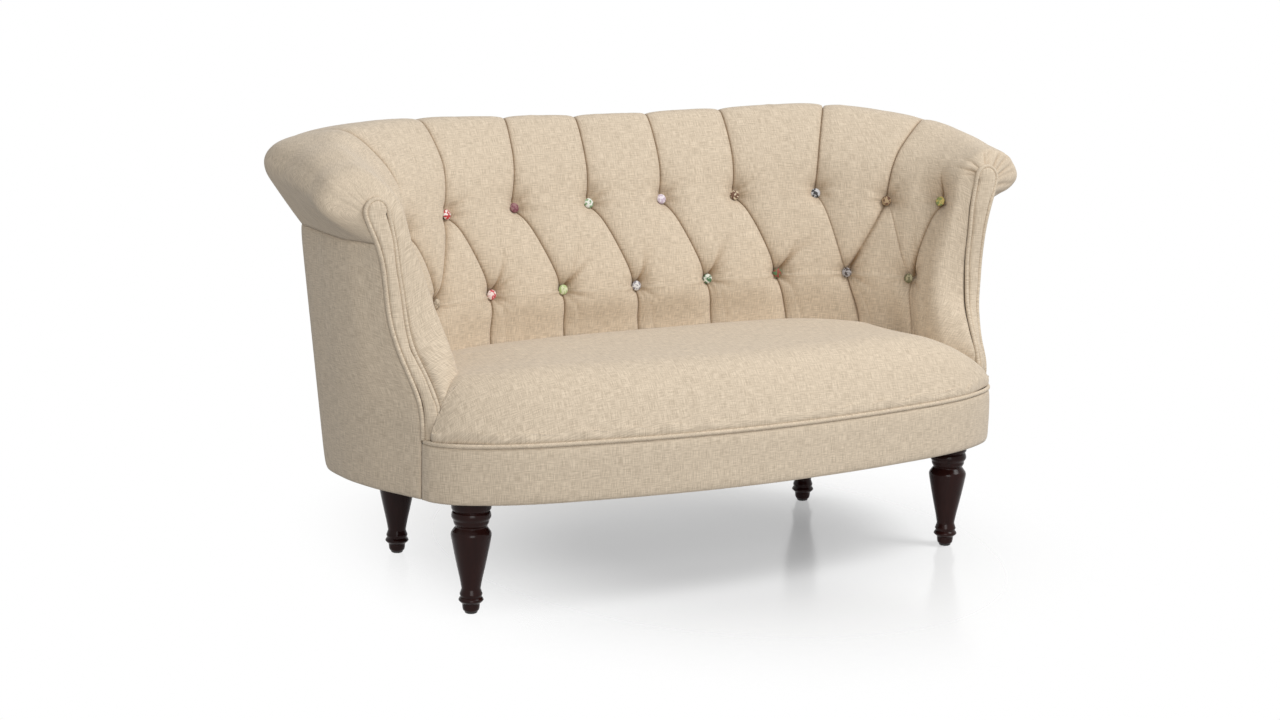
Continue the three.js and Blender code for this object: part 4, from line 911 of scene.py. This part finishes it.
def piping_tree():
    """Sweeps a round cord along a path; the path's points are the only thing that differs."""
    sockets = {"Geometry": "Geometry", "Radius": "Float", "Sides": "Int", "Cloth": "Material"}
    tree, given, result = new_group("piping_cord", "GeometryNodeTree", sockets, {"Geometry": "Geometry"})
    path = add_node(tree, "GeometryNodeMeshToCurve", {"Mesh": given["Geometry"]})
    circle = add_node(tree, "GeometryNodeCurvePrimitiveCircle", {
        "Radius": given["Radius"], "Resolution": given["Sides"]})
    sweep = add_node(tree, "GeometryNodeCurveToMesh", {
        "Curve": path.outputs["Curve"], "Profile Curve": circle.outputs["Curve"], "Fill Caps": True})
    smooth = add_node(tree, "GeometryNodeSetShadeSmooth", {"Geometry": sweep.outputs["Mesh"]})
    real = add_node(tree, "GeometryNodeRealizeInstances", {"Geometry": smooth.outputs["Geometry"]})
    finish = add_node(tree, "GeometryNodeSetMaterial", {
        "Geometry": real.outputs["Geometry"], "Material": given["Cloth"]})
    set_inputs(tree, result, {"Geometry": finish.outputs["Geometry"]})
    return tree


piping_cord = piping_tree()


def piping(name, node, path):
    guide = bpy.data.meshes.new(f"{name}_path")
    steps = [(k, k + 1) for k in range(len(path) - 1)]
    guide.from_pydata([tuple(p) for p in path * millimetre], steps, [])
    carrier = add_object(f"{name}_path", guide)
    sweep = carrier.modifiers.new("piping", "NODES")
    sweep.node_group = piping_cord
    values = {"Radius": welt_radius * millimetre, "Sides": piping_sides, "Cloth": linen_bias}
    for label, value in values.items():
        sweep[piping_cord.interface.items_tree[label].identifier] = value
    graph = bpy.context.evaluated_depsgraph_get()
    mesh = bpy.data.meshes.new_from_object(carrier.evaluated_get(graph))
    bpy.data.objects.remove(carrier)
    cord = add_object(name, mesh)
    spots = np.array([v.co for v in mesh.vertices]) / millimetre
    nearest_path = np.argmin(((spots[:, None] - path[None]) ** 2).sum(-1), 1)
    away = spots - path[nearest_path]
    lay_cloth(cord, lengths(path, 0)[nearest_path], np.arctan2(away[:, 2], away[:, 1] + 1e-3) * welt_radius)
    outward(cord)
    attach(cord, "root")
    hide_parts(node)


seat_run = np.linspace(-1, 1, 260) * (1 - welt_end / front_run)
seat_path = np.column_stack([front_points(seat_run, welt_inset), np.full(len(seat_run), welt_height)])
piping("seat_piping", "seat_welt", seat_path)

head_sweep = np.radians(np.linspace(-32, 178, 44))
arm_rise = np.linspace(0, 1, 90)


def arm_edge(line, depths, z):
    return np.column_stack([soft_edge(line, z), soft_edge(depths, z) - forward, z])


def facing_path():
    x = head_centre[0] + head_radius * np.cos(head_sweep)
    z = head_centre[1] + head_radius * np.sin(head_sweep)
    head = np.column_stack([x, face_depth(x, z, soft_edge) - forward, z])
    outer = arm_edge(facing_outer, outer_depth, foot_outer + (z[0] - foot_outer) * arm_rise)
    inner = arm_edge(facing_inner, inner_depth, z[-1] + (foot_inner - z[-1]) * arm_rise)
    path = np.concatenate([outer[:-3], head, inner[3:]])
    for _ in range(30):
        path[1:-1] = (path[:-2] + 2 * path[1:-1] + path[2:]) / 4
    return path


arm_path = facing_path()
piping("arm_piping_right", "facing_welt_right", arm_path)
piping("arm_piping_left", "facing_welt_left", arm_path * (-1, 1, 1))

# Arm fronts
# A narrow linen facing over a shaped board closes each scrolled arm; it is slightly stuffed.
# It is nailed over the raw ends of the inside and outside covers and lies inside the piping.
facing_foot, facing_thickness, facing_crown, edge_clear = welt_height + 1, 6.0, 3.4, 3.6
facing_edge, board_gap, shoulder_height, full_width = 3.5, 0.2, 30, 40
taper_from, taper_to, taper_least = facing_foot + 8, facing_foot + 50, 0.25
head_rows, body_rows, facing_columns = 40, 110, 17
turns = np.radians(np.linspace(0, 88, head_rows))
body_z = np.linspace(facing_foot, head_centre[1], body_rows, endpoint=False)
head_reach = head_radius - edge_clear
head_half = head_reach * np.cos(turns)
outer_x = np.concatenate([soft_edge(facing_outer, body_z) - edge_clear, head_centre[0] + head_half])
inner_x = np.concatenate([soft_edge(facing_inner, body_z) + edge_clear, head_centre[0] - head_half])
all_z = np.concatenate([body_z, head_centre[1] + head_reach * np.sin(turns)])
blend_zone = smooth_step(head_centre[1] - shoulder_height, head_centre[1], all_z)
foot_taper = taper_least + (1 - taper_least) * smooth_step(taper_from, taper_to, all_z)
outer_x = outer_x + blend_zone * (np.minimum(outer_x, head_centre[0] + head_reach) - outer_x)
spot = np.linspace(0, 1, facing_columns)
from_middle = abs(2 * spot - 1)
x = outer_x[:, None] + (inner_x - outer_x)[:, None] * spot
z = all_z[:, None] + 0 * spot
bulge = facing_crown * (1 - from_middle ** 2.6) * np.clip((outer_x - inner_x) / full_width, 0, 1)[:, None]
rounding = facing_edge * from_middle ** 8
board = face_depth(x, z, soft_edge)
facing = np.dstack([x, board - (facing_thickness - rounding + bulge) * foot_taper[:, None], z])
rear = np.dstack([x, board + board_gap, z])
for word, side in (("right", 1), ("left", -1)):
    slab(f"arm_front_{word}", f"arm_facing_{word}", facing, rear, x, z, side)

# Legs
# Four turned legs of close-grained hardwood, stained espresso and lacquered to a gloss.
# Each is turned from one blank, with a plate on top, and screwed up into a corner block by its bolt.
leg_places = {"front": (522.5, -187.5), "back": (470.0, 245.5)}
leg_profile = [
    (0, 4.4), (12.6, 4.4), (14.6, 7), (15.6, 12), (15.9, 18), (19, 20.6), (22.4, 24.6), (21, 28.4),
    (18.8, 30.6), (20.4, 35.6), (19.2, 39.6), (17.1, 45.6), (20.6, 65), (25.2, 86), (30.2, 110),
    (34.4, 132), (36.4, 145), (35.2, 150.4), (28, 160.4), (31.4, 166.6), (32, 172), (35.6, 178.6),
    (34.6, 185.6), (32.3, 189.4), (35.8, 194.6), (36, 215.6), (4, 215.6), (4, 262), (0, 262),
]
leg_sides, profile_fine = 72, 7
sharp_rows = {0, 1, 4, 8, 11, 17, 18, 20, 23, 25, 26, 27, 28}


def turned_profile():
    """The profile with its coves and beads rounded, and its fillets kept crisp."""
    spots = np.array(leg_profile, float)
    fine = []
    for k, (a, b) in enumerate(zip(spots, spots[1:])):
        leaving = b - a if k in sharp_rows else (b - spots[k - 1]) / 2
        arriving = b - a if k + 1 in sharp_rows else (spots[k + 2] - a) / 2
        shares_on = np.linspace(0, 1, profile_fine, endpoint=False)
        fine += [cubic(t, a, b, leaving, arriving) for t in shares_on]
    return np.maximum([*fine, spots[-1]], 0)


def grain_group():
    """Grain of a turned blank: long streaks along the leg as a tone, and fine pores as a height."""
    group, given, result = new_group("turned_grain", "ShaderNodeTree", {"Place": "Vector"},
                                     {"Tone": "Float", "Height": "Float"})
    for label, squeeze, scale, detail in (("Tone", 0.07, 95, 5), ("Height", 0.04, 620, 2)):
        long = add_node(group, "ShaderNodeMapping", {"Vector": given["Place"], "Scale": (1, 1, squeeze)})
        noise = add_node(group, "ShaderNodeTexNoise", {
            "Vector": long.outputs["Vector"], "Scale": scale, "Detail": detail})
        set_inputs(group, result, {label: noise.outputs["Fac"]})
    return group


def patterned(name, pattern, tones, roughness, gloss, bump_strength, bump_depth, counts=None):
    """A material with the two tones and the relief of a pattern that lies in the piece's own space."""
    material, tree, shader = new_material(name, {"Roughness": roughness, "Specular IOR Level": gloss})
    where = add_node(tree, "ShaderNodeTexCoord")
    drawn = add_node(tree, "ShaderNodeGroup", node_tree=pattern, values={
        "Place": where.outputs["Object"], **(counts or {})})
    dark, light = [(*tone, 1) for tone in tones]
    set_inputs(tree, shader, {"Base Color": two_tones(tree, drawn.outputs["Tone"], dark, light)})
    add_bump(tree, shader, drawn.outputs["Height"], bump_strength, bump_depth)
    return material


turned_grain = grain_group()
stain_tones = (0.010, 0.0035, 0.003), (0.032, 0.0095, 0.0075)
espresso = patterned("espresso_lacquer", turned_grain, stain_tones, 0.2, 0.13, 0.1, 0.0002)
profile = turned_profile()
for end, (middle_x, middle_y) in leg_places.items():
    for word, side in (("left", -1), ("right", 1)):

        def on_leg(radius, angle, height):
            x, y = middle_x * side + radius * math.cos(angle), middle_y + radius * math.sin(angle)
            return np.array([x, y, height]) * millimetre

        leg = turned_piece(f"leg_{end}_{word}_turned", profile, leg_sides, on_leg)
        finish_cover(leg, f"leg_{end}_{word}", espresso)

# Glides
# Small black plastic glides, moulded and nailed under the legs; only their rims show.
# They are the frame's own solids with this finish put on.
glide_colour, least_rough, most_rough = (0.009, 0.007, 0.006, 1), 0.38, 0.6
glide_paint, tree, shader = new_material("glide_plastic", {"Base Color": glide_colour})
where = add_node(tree, "ShaderNodeTexCoord")
grains = add_node(tree, "ShaderNodeTexNoise", {"Vector": where.outputs["Object"], "Scale": 900})
dull = add_node(tree, "ShaderNodeMapRange", {
    "Value": grains.outputs["Fac"], "To Min": least_rough, "To Max": most_rough})
set_inputs(tree, shader, {"Roughness": dull.outputs["Result"]})
finishes = {"glide": glide_paint}

# Hidden frame
# Rails, posts, corner blocks, brace and top rails of sawn beech inside the covers, glued and screwed.
# They are the frame's own solids with a plain wood finish put on.
beech_tones = (0.36, 0.24, 0.13), (0.56, 0.40, 0.24)
beech = patterned("sawn_beech", turned_grain, beech_tones, 0.7, 0.3, 0.1, 0.0004)
for start in ("seat_rail", "corner_block", "seat_brace", "arm_post", "back_post", "top_rail"):
    finishes[start] = beech

# Webbing and dust cover
# Woven jute straps tacked to the rails carry the springs; black cambric tacked under them hides them.
# Both are the frame's own solids with a finish put on, like the glides and the hidden frame.
jute_tones, jute_yarns = ((0.20, 0.13, 0.06), (0.46, 0.33, 0.17)), {"Yarns per metre": 500}
cambric_tones, cambric_yarns = ((0.008, 0.008, 0.009), (0.022, 0.022, 0.024)), {"Yarns per metre": 1400}
coarse = 0.92, 0.5, 0.3, 0.0005
finishes["seat_webbing"] = patterned("jute_webbing", slub_weave, jute_tones, *coarse, jute_yarns)
finishes["dust_cover"] = patterned("black_cambric", slub_weave, cambric_tones, *coarse, cambric_yarns)
for name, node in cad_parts.items():
    for start, finish in finishes.items():
        if name.startswith(start):
            node.data.materials.clear()
            node.data.materials.append(finish)
